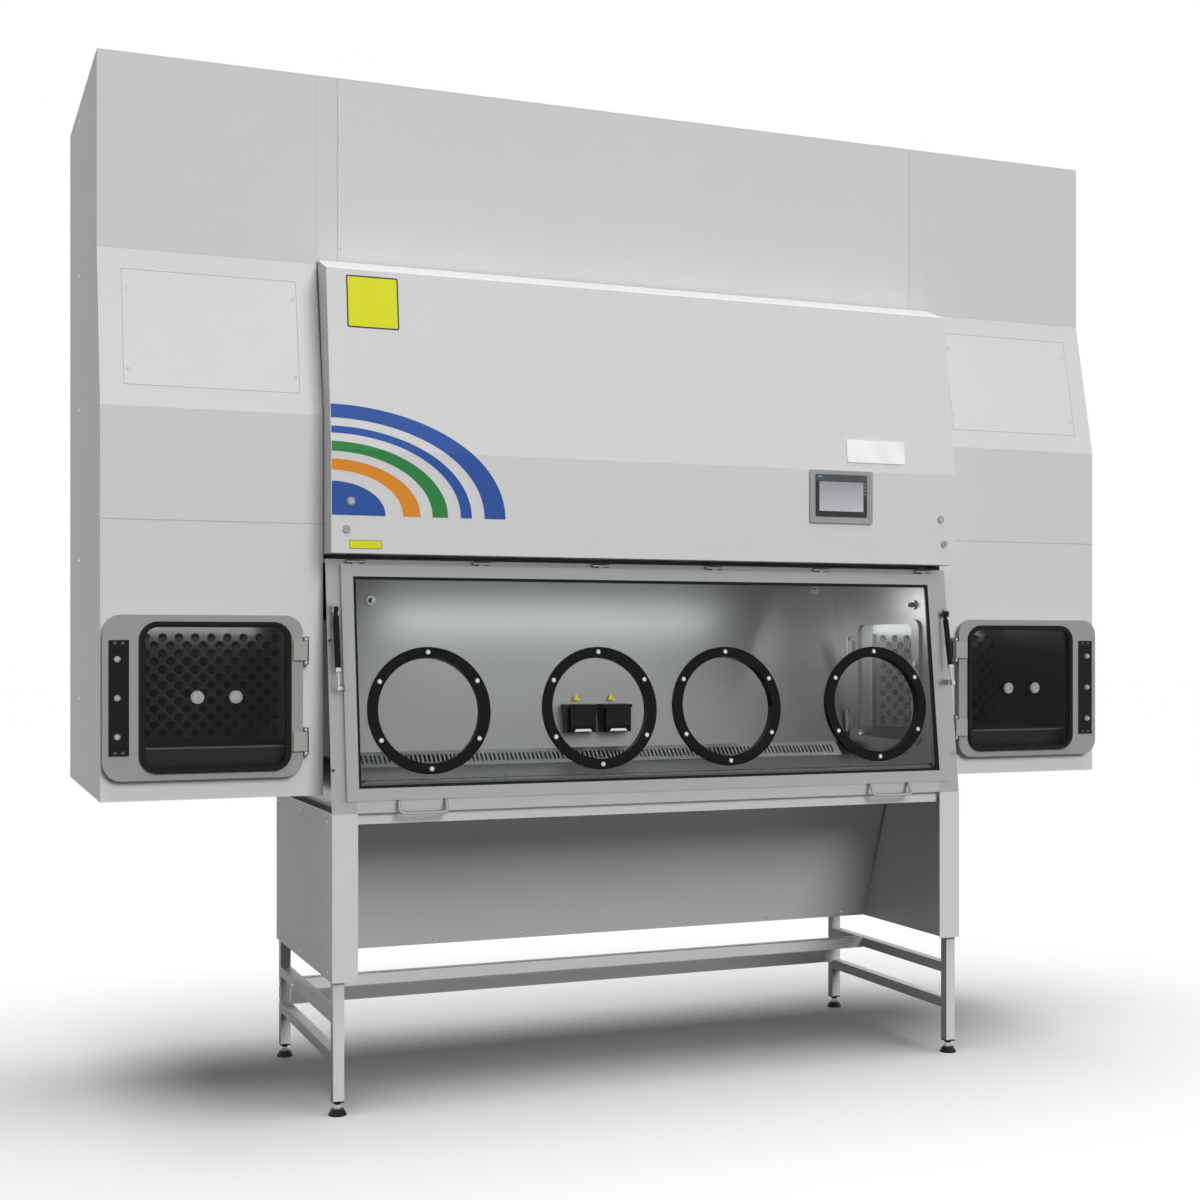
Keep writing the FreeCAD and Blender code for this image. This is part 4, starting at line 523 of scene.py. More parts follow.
@dataclass(frozen=True)
class Display(Finish):
    """Dark glass with a plain pale display, a grey header, a column of keys and one signal lamp."""

    centre: tuple[float, float] = (0.5718, 1.698)

    def write(self, recipe: Recipe) -> bpy.types.Material:
        """Writes the node tree.

        Args:
            recipe: The empty tree.

        Returns:
            The material.
        """
        x, _, z = recipe.axes()
        u = (x - self.centre[0]) * 1000.0
        v = (z - self.centre[1]) * 1000.0
        pane = u.between(-75.0, 75.0) * v.between(-46.0, 42.0)
        header = (v > 43.5) * u.between(-86.5, 86.5)
        keys = u.between(76.5, 85.5) * ((v - 1.0) % 11.0).between(1.5, 9.5) * v.between(1.0, 41.0)
        lamp = u.between(-80.0, -66.0) * v.between(54.0, 59.0)
        fall = (v + 46.0) / 88.0
        pale = recipe.mix(fall, (0.50, 0.51, 0.54), (0.26, 0.27, 0.285))
        glass = recipe.mix(pane, (0.006, 0.006, 0.007), pale)
        glass = recipe.mix(header, glass, (0.045, 0.046, 0.048))
        glass = recipe.mix(keys, glass, (0.10, 0.10, 0.11))
        glass = recipe.mix(lamp, glass, (0.05, 0.30, 0.32))
        return recipe.surface(Base_Color=glass, Roughness=0.16, Emission_Color=glass,
                              Emission_Strength=0.08)


@dataclass
class Palette:
    """All finishes of the machine."""

    body: Finish = PowderCoat("body coat", grey(0.62), 0.42)
    panel: Finish = PowderCoat("panel coat", grey(0.635), 0.40)
    stand: Finish = PowderCoat("stand coat", grey(0.60), 0.38)
    door: Finish = PowderCoat("door coat", grey(0.30), 0.46)
    chamber: Finish = Steel("chamber steel", grey(0.385), 0.42, Grain.UPRIGHT)
    rear: Finish = Steel("rear wall steel", (0.36, 0.362, 0.362), 0.42, Grain.ACROSS)
    grille: Finish = Steel("grille steel", (0.60, 0.61, 0.61), 0.46, Grain.ACROSS)
    tray: Finish = Steel("tray steel", (0.42, 0.43, 0.43), 0.30, Grain.ACROSS)
    window: Finish = Steel("window steel", grey(0.38), 0.42, Grain.ACROSS)
    liner: Finish = Steel("pass box steel", grey(0.17), 0.34, Grain.UPRIGHT, 0.00001)
    hinge: Finish = Steel("hinge steel", (0.34, 0.325, 0.31), 0.38, Grain.BLASTED)
    bright: Finish = Steel("bright steel", (0.66, 0.66, 0.67), 0.20, Grain.BLASTED)
    chrome: Finish = Steel("hard chrome", (0.55, 0.55, 0.56), 0.14, Grain.UPRIGHT)
    lock: Finish = Steel("lock steel", (0.40, 0.40, 0.405), 0.22, Grain.BLASTED)
    fitting: Finish = Steel("fitting steel", (0.34, 0.335, 0.325), 0.26, Grain.BLASTED)
    # Dark steel for the lock strips' screws, and for the painted shade behind the window's lower edge.
    shade: Finish = Steel("dark steel", grey(0.10), 0.36, Grain.ACROSS)
    glass: Finish = Glazing("clear glass", (0.985, 0.995, 0.99), 0.02, 0.25)
    smoked: Finish = Glazing("door glass", grey(0.58), 0.03, 0.16)
    ring: Finish = Moulded("port ring black", (0.004, 0.004, 0.0045), 0.24, 0.0, 0.10)
    rubber: Finish = Moulded("rim rubber", (0.004, 0.004, 0.0045), 0.22, 0.10, 0.12)
    black: Finish = Moulded("black moulding", (0.006, 0.006, 0.007), 0.34, 0.0, 0.2)
    spring: Finish = Moulded("spring black", grey(0.004), 0.20, 0.0, 0.14)
    bezel: Finish = Moulded("bezel grey", (0.30, 0.31, 0.32), 0.40, 0.0)
    dark: Finish = Moulded("shadow gap", (0.03, 0.03, 0.032), 0.6, 0.0)
    opal: Finish = Diffuser("opal cover", (0.95, 0.98, 0.97), 0.4)
    media: Finish = PleatedMedia("filter paper", (0.80, 0.80, 0.76), 0.8)
    fan: Finish = PowderCoat("fan coat", (0.18, 0.19, 0.20), 0.5)
    box: Finish = PowderCoat("control box coat", (0.34, 0.35, 0.36), 0.5)
    # White plate of the sockets and the fascia; on the pass boxes' tray lips it is a painted highlight.
    white: Finish = Moulded("white plate", grey(0.88), 0.30, 0.2)
    joint: Finish = Moulded("joint grey", grey(0.34), 0.6)


# Modelling bench

@dataclass(frozen=True)
class Spot:
    """A place for a copy of a small part: its seat and the way it faces."""

    seat: Vector
    facing: Vector

    @classmethod
    def on(cls, x: float, y: float, z: float, facing: Facing = Facing.FRONT) -> "Spot":
        """A place given in the source's millimetres."""
        return cls(at(x, y, z), facing.normal)

    def matrix(self) -> Matrix:
        """The placement of a part that is modelled on the floor, facing up."""
        aim = self.facing.to_track_quat("Z", "Y").to_matrix().to_4x4()
        return Matrix.Translation(self.seat) @ aim


@dataclass
class Blank:
    """A mesh on the bench, shaped in edit mode as by hand."""

    thing: bpy.types.Object

    @classmethod
    def start(cls, name: str, add: Callable[..., object], scale: Sequence[float] = (1, 1, 1),
              **settings: object) -> "Blank":
        """Adds a primitive with nothing else selected and puts its place into its mesh.

        Args:
            name: Name of the piece.
            add: The operator that adds the primitive.
            scale: Scale along the primitive's own axes.
            settings: What the operator takes.

        Returns:
            The blank.
        """
        bpy.ops.object.select_all(action="DESELECT")
        add(**settings)
        thing = bpy.context.object
        thing.scale = scale
        bpy.ops.object.transform_apply(location=True, rotation=True, scale=True)
        thing.name = name
        thing.data.name = name
        return cls(thing)

    @classmethod
    def rod(cls, name: str, radius: float, height: float, sides: int = 24,
            foot: Vector = Vector((0, 0, 0))) -> "Blank":
        """Starts from an upright cylinder, given in metres by the centre of its lower end."""
        return cls.start(name, bpy.ops.mesh.primitive_cylinder_add, vertices=sides, radius=radius,
                         depth=height, location=foot + Vector((0, 0, height / 2)))

    @classmethod
    def block(cls, name: str, low: Vector, high: Vector) -> "Blank":
        """Starts from a block between two corners."""
        return cls.start(name, bpy.ops.mesh.primitive_cube_add, high - low, size=1,
                         location=(low + high) / 2)

    @classmethod
    def plate(cls, name: str, centre: Vector, width: float, height: float,
              lean: float = 0.0) -> "Blank":
        """Starts from a flat sheet that faces the front, upright or leaning back by an angle."""
        return cls.start(name, bpy.ops.mesh.primitive_plane_add, (width, height, 1), size=1,
                         location=centre, rotation=(math.pi / 2 - lean, 0, 0))

    def edit(self, kind: str) -> bmesh.types.BMesh:
        """Enters edit mode with nothing selected.

        Args:
            kind: What is selected from then on: VERT, EDGE or FACE.

        Returns:
            The mesh under edit.
        """
        bpy.context.view_layer.objects.active = self.thing
        bpy.ops.object.mode_set(mode="EDIT")
        bpy.ops.mesh.select_mode(type=kind)
        bpy.ops.mesh.select_all(action="DESELECT")
        return bmesh.from_edit_mesh(self.thing.data)

    def choose(self, kind: str, chosen: Callable[..., bool]) -> "Blank":
        """Selects faces or edges.

        Args:
            kind: FACE or EDGE.
            chosen: Says of one of them whether it is picked.

        Returns:
            The blank.
        """
        mesh = self.edit(kind)
        for part in mesh.faces if kind == "FACE" else mesh.edges:
            part.select_set(chosen(part))
        bmesh.update_edit_mesh(self.thing.data)
        return self

    def pick(self, test: Callable[[Vector, Vector], bool]) -> "Blank":
        """Selects the faces whose centre and normal pass a test."""
        return self.choose("FACE", lambda face: test(face.calc_center_median(), face.normal))

    def pick_all(self) -> "Blank":
        """Selects every face."""
        return self.choose("FACE", lambda face: True)

    def pick_facing(self, facing: Facing) -> "Blank":
        """Selects the faces that look in a direction."""
        return self.pick(lambda _, normal: normal.dot(facing.normal) > 0.9)

    def pick_edges(self, test: Callable[[Vector, Vector], bool]) -> "Blank":
        """Selects the edges whose two ends pass a test."""
        return self.choose("EDGE", lambda edge: test(edge.verts[0].co, edge.verts[1].co))

    def inset(self, thickness: float, depth: float = 0.0) -> "Blank":
        """Insets the picked faces."""
        bpy.ops.mesh.inset(thickness=thickness, depth=depth)
        return self

    def extrude(self, shift: Vector | Colour) -> "Blank":
        """Extrudes the picked faces by a shift."""
        bpy.ops.mesh.extrude_region_move(TRANSFORM_OT_translate={"value": tuple(shift)})
        return self

    def taper(self, factor: float, centre: Vector | Colour) -> "Blank":
        """Scales what is picked about a point."""
        bpy.ops.transform.resize(value=(factor, factor, factor), center_override=tuple(centre))
        return self

    def bevel(self, width: float, segments: int = 2) -> "Blank":
        """Rounds the picked edges."""
        bpy.ops.mesh.bevel(offset=width, segments=segments, affect="EDGES")
        return self

    def round_along(self, axis: int, longer: float, width: float, segments: int = 2) -> "Blank":
        """Rounds the edges that reach further along an axis, numbered from 0, than a length."""
        self.pick_edges(lambda a, b: abs(a[axis] - b[axis]) > longer)
        return self.bevel(width, segments)

    def drop(self) -> "Blank":
        """Removes the picked faces."""
        bpy.ops.mesh.delete(type="FACE")
        return self

    def thicken(self, thickness: float) -> "Blank":
        """Gives a sheet its thickness, outwards, and applies the modifier.

        Args:
            thickness: In metres.

        Returns:
            The blank.
        """
        self.leave()
        wall = self.thing.modifiers.new("wall", "SOLIDIFY")
        wall.thickness = thickness
        wall.offset = 1.0
        bpy.ops.object.modifier_apply(modifier=wall.name)
        return self

    def leave(self) -> None:
        """Leaves edit mode with only this piece selected."""
        if bpy.context.mode != "OBJECT":
            bpy.ops.object.mode_set(mode="OBJECT")
        bpy.ops.object.select_all(action="DESELECT")
        self.thing.select_set(True)
        bpy.context.view_layer.objects.active = self.thing

    def settle(self, angle: float = 35.0) -> bpy.types.Object:
        """Turns the faces outwards, smooths the round ones and hands the piece over.

        Args:
            angle: Edges sharper than this stay sharp, in degrees.

        Returns:
            The finished piece.
        """
        self.leave()
        bpy.ops.object.mode_set(mode="EDIT")
        bpy.ops.mesh.select_all(action="SELECT")
        bpy.ops.mesh.normals_make_consistent(inside=False)
        bpy.ops.object.mode_set(mode="OBJECT")
        bpy.ops.object.shade_smooth_by_angle(angle=math.radians(angle))
        return self.thing

    def set_out(self, spots: Sequence[Spot], name: str) -> bpy.types.Object:
        """Copies the finished part to every spot and joins the copies.

        Args:
            spots: Where the copies go.
            name: Name of the joined piece.

        Returns:
            The joined piece.
        """
        model = self.settle()
        bpy.ops.object.select_all(action="DESELECT")
        copies = [model.copy() for _ in spots]
        for twin, spot in zip(copies, spots):
            twin.data = model.data.copy()
            twin.data.transform(spot.matrix())
            bpy.context.collection.objects.link(twin)
            twin.select_set(True)
        bpy.data.objects.remove(model)
        joined = copies[0]
        bpy.context.view_layer.objects.active = joined
        if len(copies) > 1:
            bpy.ops.object.join()
        joined.name = name
        joined.data.name = name
        return joined


def button_screw(name: str, radius: float = 0.0045, height: float = 0.0022, sides: int = 18) -> Blank:
    """A low button screw with a round socket, facing up.

    Args:
        name: Name of the blank.
        radius: Head radius in metres.
        height: Head height in metres.
        sides: Sides of the head.

    Returns:
        The blank of one screw.
    """
    blank = Blank.rod(name, radius, height * 0.45, sides).pick_facing(Facing.UP)
    for rise, factor in ((0.3, 0.86), (0.18, 0.78), (0.07, 0.72)):
        blank.extrude((0, 0, height * rise)).taper(factor, (0, 0, height))
    return blank.inset(radius * 0.08).extrude((0, 0, -height * 0.4))


def dome_bolt(name: str, radius: float, height: float, sides: int = 24) -> Blank:
    """A polished dome head on a thin washer, facing up.

    Args:
        name: Name of the blank.
        radius: Radius of the washer in metres.
        height: Height of the head in metres.
        sides: Sides of the head.

    Returns:
        The blank of one bolt.
    """
    level = 0.18
    blank = Blank.rod(name, radius, height * level, sides)
    blank.pick_facing(Facing.UP).inset(radius * 0.10)
    for rise, factor in ((0.30, 0.97), (0.22, 0.88), (0.16, 0.80), (0.09, 0.66), (0.05, 0.5)):
        level += rise
        blank.extrude((0, 0, height * rise)).taper(factor, (0, 0, height * level))
    return blank


# Sub-assemblies

@dataclass
class Assembly:
    """A group of pieces that is built, dressed and hung on its body."""

    palette: Palette

    def dress(self, finish: Finish, *nodes: str) -> None:
        """Gives a finish to nodes that keep their own shape.

        Args:
            finish: The finish.
            nodes: Names of the nodes.
        """
        for name in nodes:
            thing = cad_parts[name]
            if not thing.material_slots:
                thing.data.materials.append(finish.material())
            for slot in thing.material_slots:
                slot.material = finish.material()
            log.info("dressed %s in %s", name, finish.name)

    def hang(self, thing: bpy.types.Object, finish: Finish, body: str = STAND) -> None:
        """Gives a new piece its finish and the body that it rides on.

        Args:
            thing: The finished piece.
            finish: Its finish.
            body: The body that carries it.
        """
        thing.data.materials.clear()
        thing.data.materials.append(finish.material())
        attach(thing, body)
        log.info("built %s on %s", thing.name, body)

    def fix(self, model: Blank, name: str, spots: Sequence[Spot], finish: Finish,
            body: str = STAND) -> None:
        """Sets copies of a small part at their spots and hangs them as one piece."""
        self.hang(model.set_out(spots, name), finish, body)

    @staticmethod
    def seat(node: str, x: float, z: float) -> Vector:
        """Finds the point of a node that is seen straight from the front.

        Args:
            node: Name of the node.
            x: Width of the point, in the source's millimetres.
            z: Its height.

        Returns:
            The point in metres.
        """
        hit, place, _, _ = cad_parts[node].ray_cast(at(x, -900, z), Facing.BACK.normal)
        if not hit:
            raise ValueError("nothing of %s lies at %.0f, %.0f" % (node, x, z))
        return place


@dataclass
class StandWork(Assembly):
    """Welded stand with its feet, bolts, skirts and knee panel."""

    leg_x: float = 956.0
    front_leg_y: float = -79.0
    rear_leg_y: float = 626.0
    nut_low: float = 17.4
    nut_high: float = 26.0
    frame_x: float = 971.1
    skirt_x: float = 977.0
    knee_foot: float = 372.0
    knee_pitch: float = 280.0

    def build(self) -> None:
        """Dresses the stand and adds its small hardware."""
        p = self.palette
        self.dress(p.stand, "stand_side_frames", "stand_cross_beams", "side_skirts", "knee_panel",
                   "rear_lower_panel")
        self.dress(p.black, "leg_caps", "foot_front_left", "foot_front_right", "foot_rear_left",
                   "foot_rear_right")
        self.feet()
        self.bolts()
        self.skirt_screws()

    def feet(self) -> None:
        """Builds the hexagon nut and the sleeve of each levelling foot."""
        high = (self.nut_high - self.nut_low) / 1000
        for side, sign in SIDES:
            for end, y in (("front", self.front_leg_y), ("rear", self.rear_leg_y)):
                foot = at(sign * self.leg_x, y, self.nut_low)
                nut = Blank.rod("foot_nut_%s_%s" % (end, side), 0.0115, high, 6, foot)
                nut.pick_facing(Facing.UP).inset(0.0035)
                nut.extrude((0, 0, 0.0028)).inset(0.0012).extrude((0, 0, 0.004))
                nut.round_along(2, high * 0.8, 0.0006, 1)
                self.hang(nut.settle(25), self.palette.bright, "levelling_%s_%s" % (end, side))

    def bolts(self) -> None:
        """Sets the cap bolts of the cross beams and the shelf channel in the side frames."""
        beam_y, shelf_y = self.rear_leg_y - 3, 427
        spots = [Spot.on(sign * self.frame_x, y, z, Facing.outward(sign)) for _, sign in SIDES
                 for y, z in ((beam_y, 220), (beam_y, 172), (shelf_y, 254))]
        self.fix(dome_bolt("frame_bolt", 0.006, 0.004), "frame_bolts", spots, self.palette.bright)

    def skirt_screws(self) -> None:
        """Sets a row of small screws along the foot of the knee panel and up the skirts."""
        spots = [Spot.on(self.knee_pitch * i, 372.6, self.knee_foot, Facing.KNEE_PANEL)
                 for i in range(-3, 4)]
        spots += [Spot.on(sign * (self.skirt_x + CLEAR), y, z, Facing.outward(sign))
                  for _, sign in SIDES for z in (378, 784) for y in (-60, 300, 610)]
        self.fix(button_screw("skirt_screw", 0.004, 0.0018, 14), "skirt_screws", spots,
                 self.palette.bright)


@dataclass
class ChamberWork(Assembly):
    """Work chamber with its lamp, grille, sockets and spray fittings."""

    clip_x: float = 973.0
    clip_z: tuple[float, float] = (1267.0, 922.0)
    socket_x: tuple[float, float] = (-46.0, 74.0)
    sign_z: float = 1085.0
    rear_lean: float = 0.2222
    tray_z: float = 885.0

    def build(self) -> None:
        """Dresses the chamber and adds its small hardware."""
        p = self.palette
        self.dress(p.chamber, "chamber_shell")
        self.dress(p.rear, "chamber_rear_wall")
        self.dress(p.grille, "rear_grille")
        self.dress(p.tray, "chamber_base", "work_tray")
        self.dress(p.opal, "work_lamp")
        self.dress(p.black, "power_sockets", "socket_lid_left", "socket_lid_right")
        self.dress(p.fitting, "spray_fittings")
        self.dress(p.hinge, "fixed_pivots")
        self.clips()
        self.sockets()
        self.tray_screws()
        self.tray_slots()

    def clips(self) -> None:
        """Builds the small dark bolt ends where the chamber meets the towers."""
        for side, sign in SIDES:
            for level, z in zip(("high", "low"), self.clip_z):
                x, y = sign * self.clip_x, WINDOW_FOOT_Y + (z - WINDOW_FOOT_Z) * math.tan(WINDOW_LEAN)
                clip = Blank.block("joint_clip_%s_%s" % (level, side), at(x - 4, y - 5.4, z - 3),
                                   at(x + 4, y - 0.4, z + 3))
                clip.pick_facing(Facing.FRONT).inset(0.0012).extrude((0, -0.0012, 0))
                clip.round_along(2, 0.005, 0.0008)
                self.hang(clip.settle(), self.palette.dark)

    def sockets(self) -> None:
        """Builds the pale strip and the plain triangle plate of each power socket."""
        yellow = SignFilm("plain yellow", (0.80, 0.66, 0.02), 0.4, centre=(0.0, 1.0), half=(5.0, 5.0))
        for number, x in enumerate(self.socket_x, 1):
            low, high = at(x - 30, 449.0, 981.5), at(x + 30, 451.4, 990)
            strip = Blank.block("socket_strip_%d" % number, low, high)
            strip.pick_facing(Facing.UP).taper(0.8, (low + high) / 2)
            strip.round_along(1, 0.002, 0.0006)
            self.hang(strip.settle(), self.palette.white)
            sign = Blank.start("socket_sign_%d" % number, bpy.ops.mesh.primitive_circle_add,
                               vertices=3, radius=0.014, fill_type="NGON",
                               location=at(x, 511.2, self.sign_z),
                               rotation=(math.pi / 2 - self.rear_lean, 0, 0))
            sign.pick_all().inset(0.002).thicken(0.0006)
            self.hang(sign.settle(), yellow)

    def tray_screws(self) -> None:
        """Sets the lift-out screws along the front and rear of the work tray."""
        spots = [Spot.on(x, y, self.tray_z + CLEAR, Facing.UP)
                 for x in (-900, -450, 0, 450, 900) for y in (20, 405)]
        self.fix(button_screw("tray_screw", 0.005, 0.002, 16), "tray_screws", spots,
                 self.palette.bright)

    def tray_slots(self) -> None:
        """Builds the perforated strip in front of the tray, as rows of short dark slots: painted shade
        that stands for its holes.
        """
        far = Vector((0.0105, 0.0022, 0.0004))
        slot = Blank.block("tray_slot", Vector((-far.x, -far.y, 0)), far)
        slot.round_along(2, 0.0003, 0.002)
        spots = [Spot.on(-900 + 30 * i + 15 * (row % 2), -48 + 9 * row, self.tray_z + 0.02, Facing.UP)
                 for row in range(4) for i in range(61)]
        # The slots are painted shade for the holes of the perforated strip.
        self.fix(slot, "tray_slots", spots, self.palette.dark)


@dataclass
class WindowWork(Assembly):
    """Leaning window with its ports, gasket, handles and gas springs."""

    port_x: tuple[float, ...] = (-701.2, -200.3, 200.3, 701.2)
    bolt_circle: float = 159.5
    glass_half: float = 905.0
    glass_low: float = -207.7
    glass_high: float = 366.0
    glass_front: float = -7.7
    glass_back: float = -16.3
    spring_top: tuple[float, float, float] = (957.0, -62.0, 1351.0)
    spring_way: tuple[float, float, float] = (0.0, -40.0, -211.0)
    tube_length: float = 160.5

    def build(self) -> None:
        """Dresses the window and adds its bolts, seal, sill and collars; the sill is a strip of painted
        shade.
        """
        p = self.palette
        self.dress(p.window, "window_frame")
        self.dress(p.glass, "window_pane")
        self.dress(p.ring, "port_rings")
        self.dress(p.lock, "window_handles")
        self.dress(p.hinge, "window_pivots")
        self.dress(p.spring, "gas_spring_cylinder_left", "gas_spring_cylinder_right")
        self.dress(p.chrome, "gas_spring_rod_left", "gas_spring_rod_right")
        self.port_bolts()
        self.gasket()
        self.sill()
        self.spring_collars()

    def port_bolts(self) -> None:
        """Sets six dome bolts on the front flange of each glove port."""
        turns = [math.radians(90 + 60 * i) for i in range(6)]
        for number, x in enumerate(self.port_x, 1):
            spots = [Spot(on_window(x + self.bolt_circle * math.cos(turn),
                                    self.bolt_circle * math.sin(turn), 0.03), Facing.WINDOW.normal)
                     for turn in turns]
            self.fix(dome_bolt("port_bolt", 0.0066, 0.0042, 20), "port_%d_bolts" % number, spots,
                     self.palette.bright, "window")

    def gasket(self) -> None:
        """Builds the thin dark seal between the glass and the inner edge of the frame."""
        half, low, high = self.glass_half - 0.4, self.glass_low + 0.4, self.glass_high - 0.4
        middle = on_window(0, (low + high) / 2, self.glass_front)
        seal = Blank.plate("window_gasket", middle, 2 * half / 1000, (high - low) / 1000, WINDOW_LEAN)
        seal.pick_all().inset(0.0075)
        seal.pick(lambda centre, _: (centre - middle).length < 0.01).drop().thicken(0.0062)
        self.hang(seal.settle(), self.palette.rubber, "window")

    def sill(self) -> None:
        """Builds the dark strip behind the glass along its lower edge, a sheet of painted shade for the
        shadow on the tray's front lip, and its two end blocks.
        """
        p, half, low = self.palette, self.glass_half - 13.0, self.glass_low + 1.0
        block, block_gap = (10.0, 22.0, 1.6), 0.9
        # The long dark strip is painted shade; the two end blocks are rubber.
        places = (("window_sill", 0.0, (2 * half, 15.0, 0.7), 0.0, p.shade),
                  ("sill_end_left", 5 - half, block, block_gap, p.rubber),
                  ("sill_end_right", half - 5, block, block_gap, p.rubber))
        for name, x, size, gap, finish in places:
            corner = Vector(size) / 2000
            strip = Blank.block(name, -corner, corner)
            strip.round_along(2, 1e-4, 0.001).pick_facing(Facing.UP).inset(0.0003)
            seat = on_window(x, low + size[1] / 2, self.glass_back - size[2] / 2 - gap)
            self.fix(strip, name, [Spot(seat, Facing.WINDOW.normal)], finish, "window")

    def spring_collars(self) -> None:
        """Builds the bright end collar of each gas spring's tube."""
        (x, y, z), along = self.spring_top, Vector(self.spring_way).normalized()
        for side, sign in SIDES:
            name = "spring_collar_%s" % side
            collar = Blank.rod(name, 0.0093, 0.011, 24)
            collar.pick(lambda _, normal: abs(normal.z) > 0.9).inset(0.0012)
            collar.pick(lambda centre, normal: abs(normal.z) > 0.9 and centre.xy.length < 0.001)
            collar.inset(0.0038).drop()
            spot = Spot(at(sign * x, y, z) + along * self.tube_length / 1000, along)
            self.fix(collar, name, [spot], self.palette.chrome, "gas_cylinder_%s" % side)


@dataclass
class FasciaWork(Assembly):
    """Folded front fascia with its locks, panel, films and plates."""

    lock_x: float = 934.0
    panel: tuple[float, float] = (571.0, 1698.0)
    print_left: float = -974.0
    print_right: float = -484.0
    print_low: float = 1602.0
    print_high: float = 1902.0
    yellow: Colour = (0.66, 0.66, 0.014)

    def build(self) -> None:
        """Dresses the fascia and adds what is fixed to it."""
        p = self.palette
        self.dress(p.panel, "fascia_panel", "centre_front_cover")
        self.dress(p.fitting, "cam_lock_left", "cam_lock_right")
        self.dress(p.bezel, "touch_panel")
        self.screen()
        self.film()
        self.plates()
        self.strip_label()
        self.domes()

    def screen(self) -> None:
        """Builds the glass front of the touch panel."""
        x, z = self.panel
        glass = Blank.block("panel_glass", at(x - 88, -96.8, z - 60), at(x + 88, -95.7, z + 66))
        glass.pick_facing(Facing.FRONT).inset(0.0012, 0.0004)
        glass.round_along(1, 0.0008, 0.003, 3)
        self.hang(glass.settle(), Display("panel screen", centre=(x / 1000, (z + 3) / 1000)), "fascia")

    def film(self) -> None:
        """Builds the thin printed film that follows the fascia's crease."""
        left, right, low = self.print_left, self.print_right, self.print_low
        film = Blank.plate("arc_film", at((left + right) / 2, FASCIA_Y - 0.15, (low + CREASE_Z) / 2),
                           (right - left) / 1000, (CREASE_Z - low) / 1000)
        crease = at(0, 0, CREASE_Z).z - 1e-4
        rise = (self.print_high - CREASE_Z) / 1000
        film.pick_edges(lambda a, b: a.z > crease and b.z > crease)
        bpy.ops.mesh.extrude_edges_move(
            TRANSFORM_OT_translate={"value": (0, rise * FASCIA_LEAN, rise)})
        film.thicken(0.00015)
        self.hang(film.settle(5), ArcFilm("arc print"), "fascia")

    def plates(self) -> None:
        """Builds the bare white plate and the large plain label on the fascia's upper face."""
        slope = Facing.FASCIA_SLOPE.normal
        sign = SignFilm("yellow sign", self.yellow, 0.38, centre=(-0.850, 2.185),
                        half=(0.072, 0.0724), border=0.004)
        places = (("bare_plate", 696, 1838, (200, 69, 2.2), self.palette.white),
                  ("upper_label", -850, 2185, (144, 146, 0.5), sign))
        for name, x, z, (width, height, proud), finish in places:
            far = Vector((width / 2, height / 2, proud)) / 1000
            plate = Blank.block(name, Vector((-far.x, -far.y, 0)), far)
            plate.round_along(2, far.z / 2, 0.004, 3).pick_facing(Facing.UP).inset(0.0006)
            face = at(x, FASCIA_Y + (z - CREASE_Z) * FASCIA_LEAN, z)
            self.fix(plate, name, [Spot(face + slope * (CLEAR / 1000), slope)], finish, "fascia")

    def strip_label(self) -> None:
        """Builds the narrow plain label low on the fascia."""
        label = Blank.block("lower_label", at(-927, FASCIA_Y - 0.5, 1513),
                            at(-837, FASCIA_Y - CLEAR, 1536))
        label.pick_facing(Facing.FRONT).inset(0.0008)
        sign = SignFilm("yellow strip", self.yellow, 0.38, centre=(-0.882, 1.5245),
                        half=(0.045, 0.0115), border=0.0012)
        self.hang(label.settle(), sign, "fascia")

    def domes(self) -> None:
        """Sets the two bright domes above the quarter-turn locks."""
        spots = [Spot.on(sign * (self.lock_x - 12), FASCIA_Y - CLEAR, 1640) for _, sign in SIDES]
        self.fix(dome_bolt("fascia_dome", 0.0115, 0.009, 32), "fascia_domes", spots,
                 self.palette.lock, "fascia")


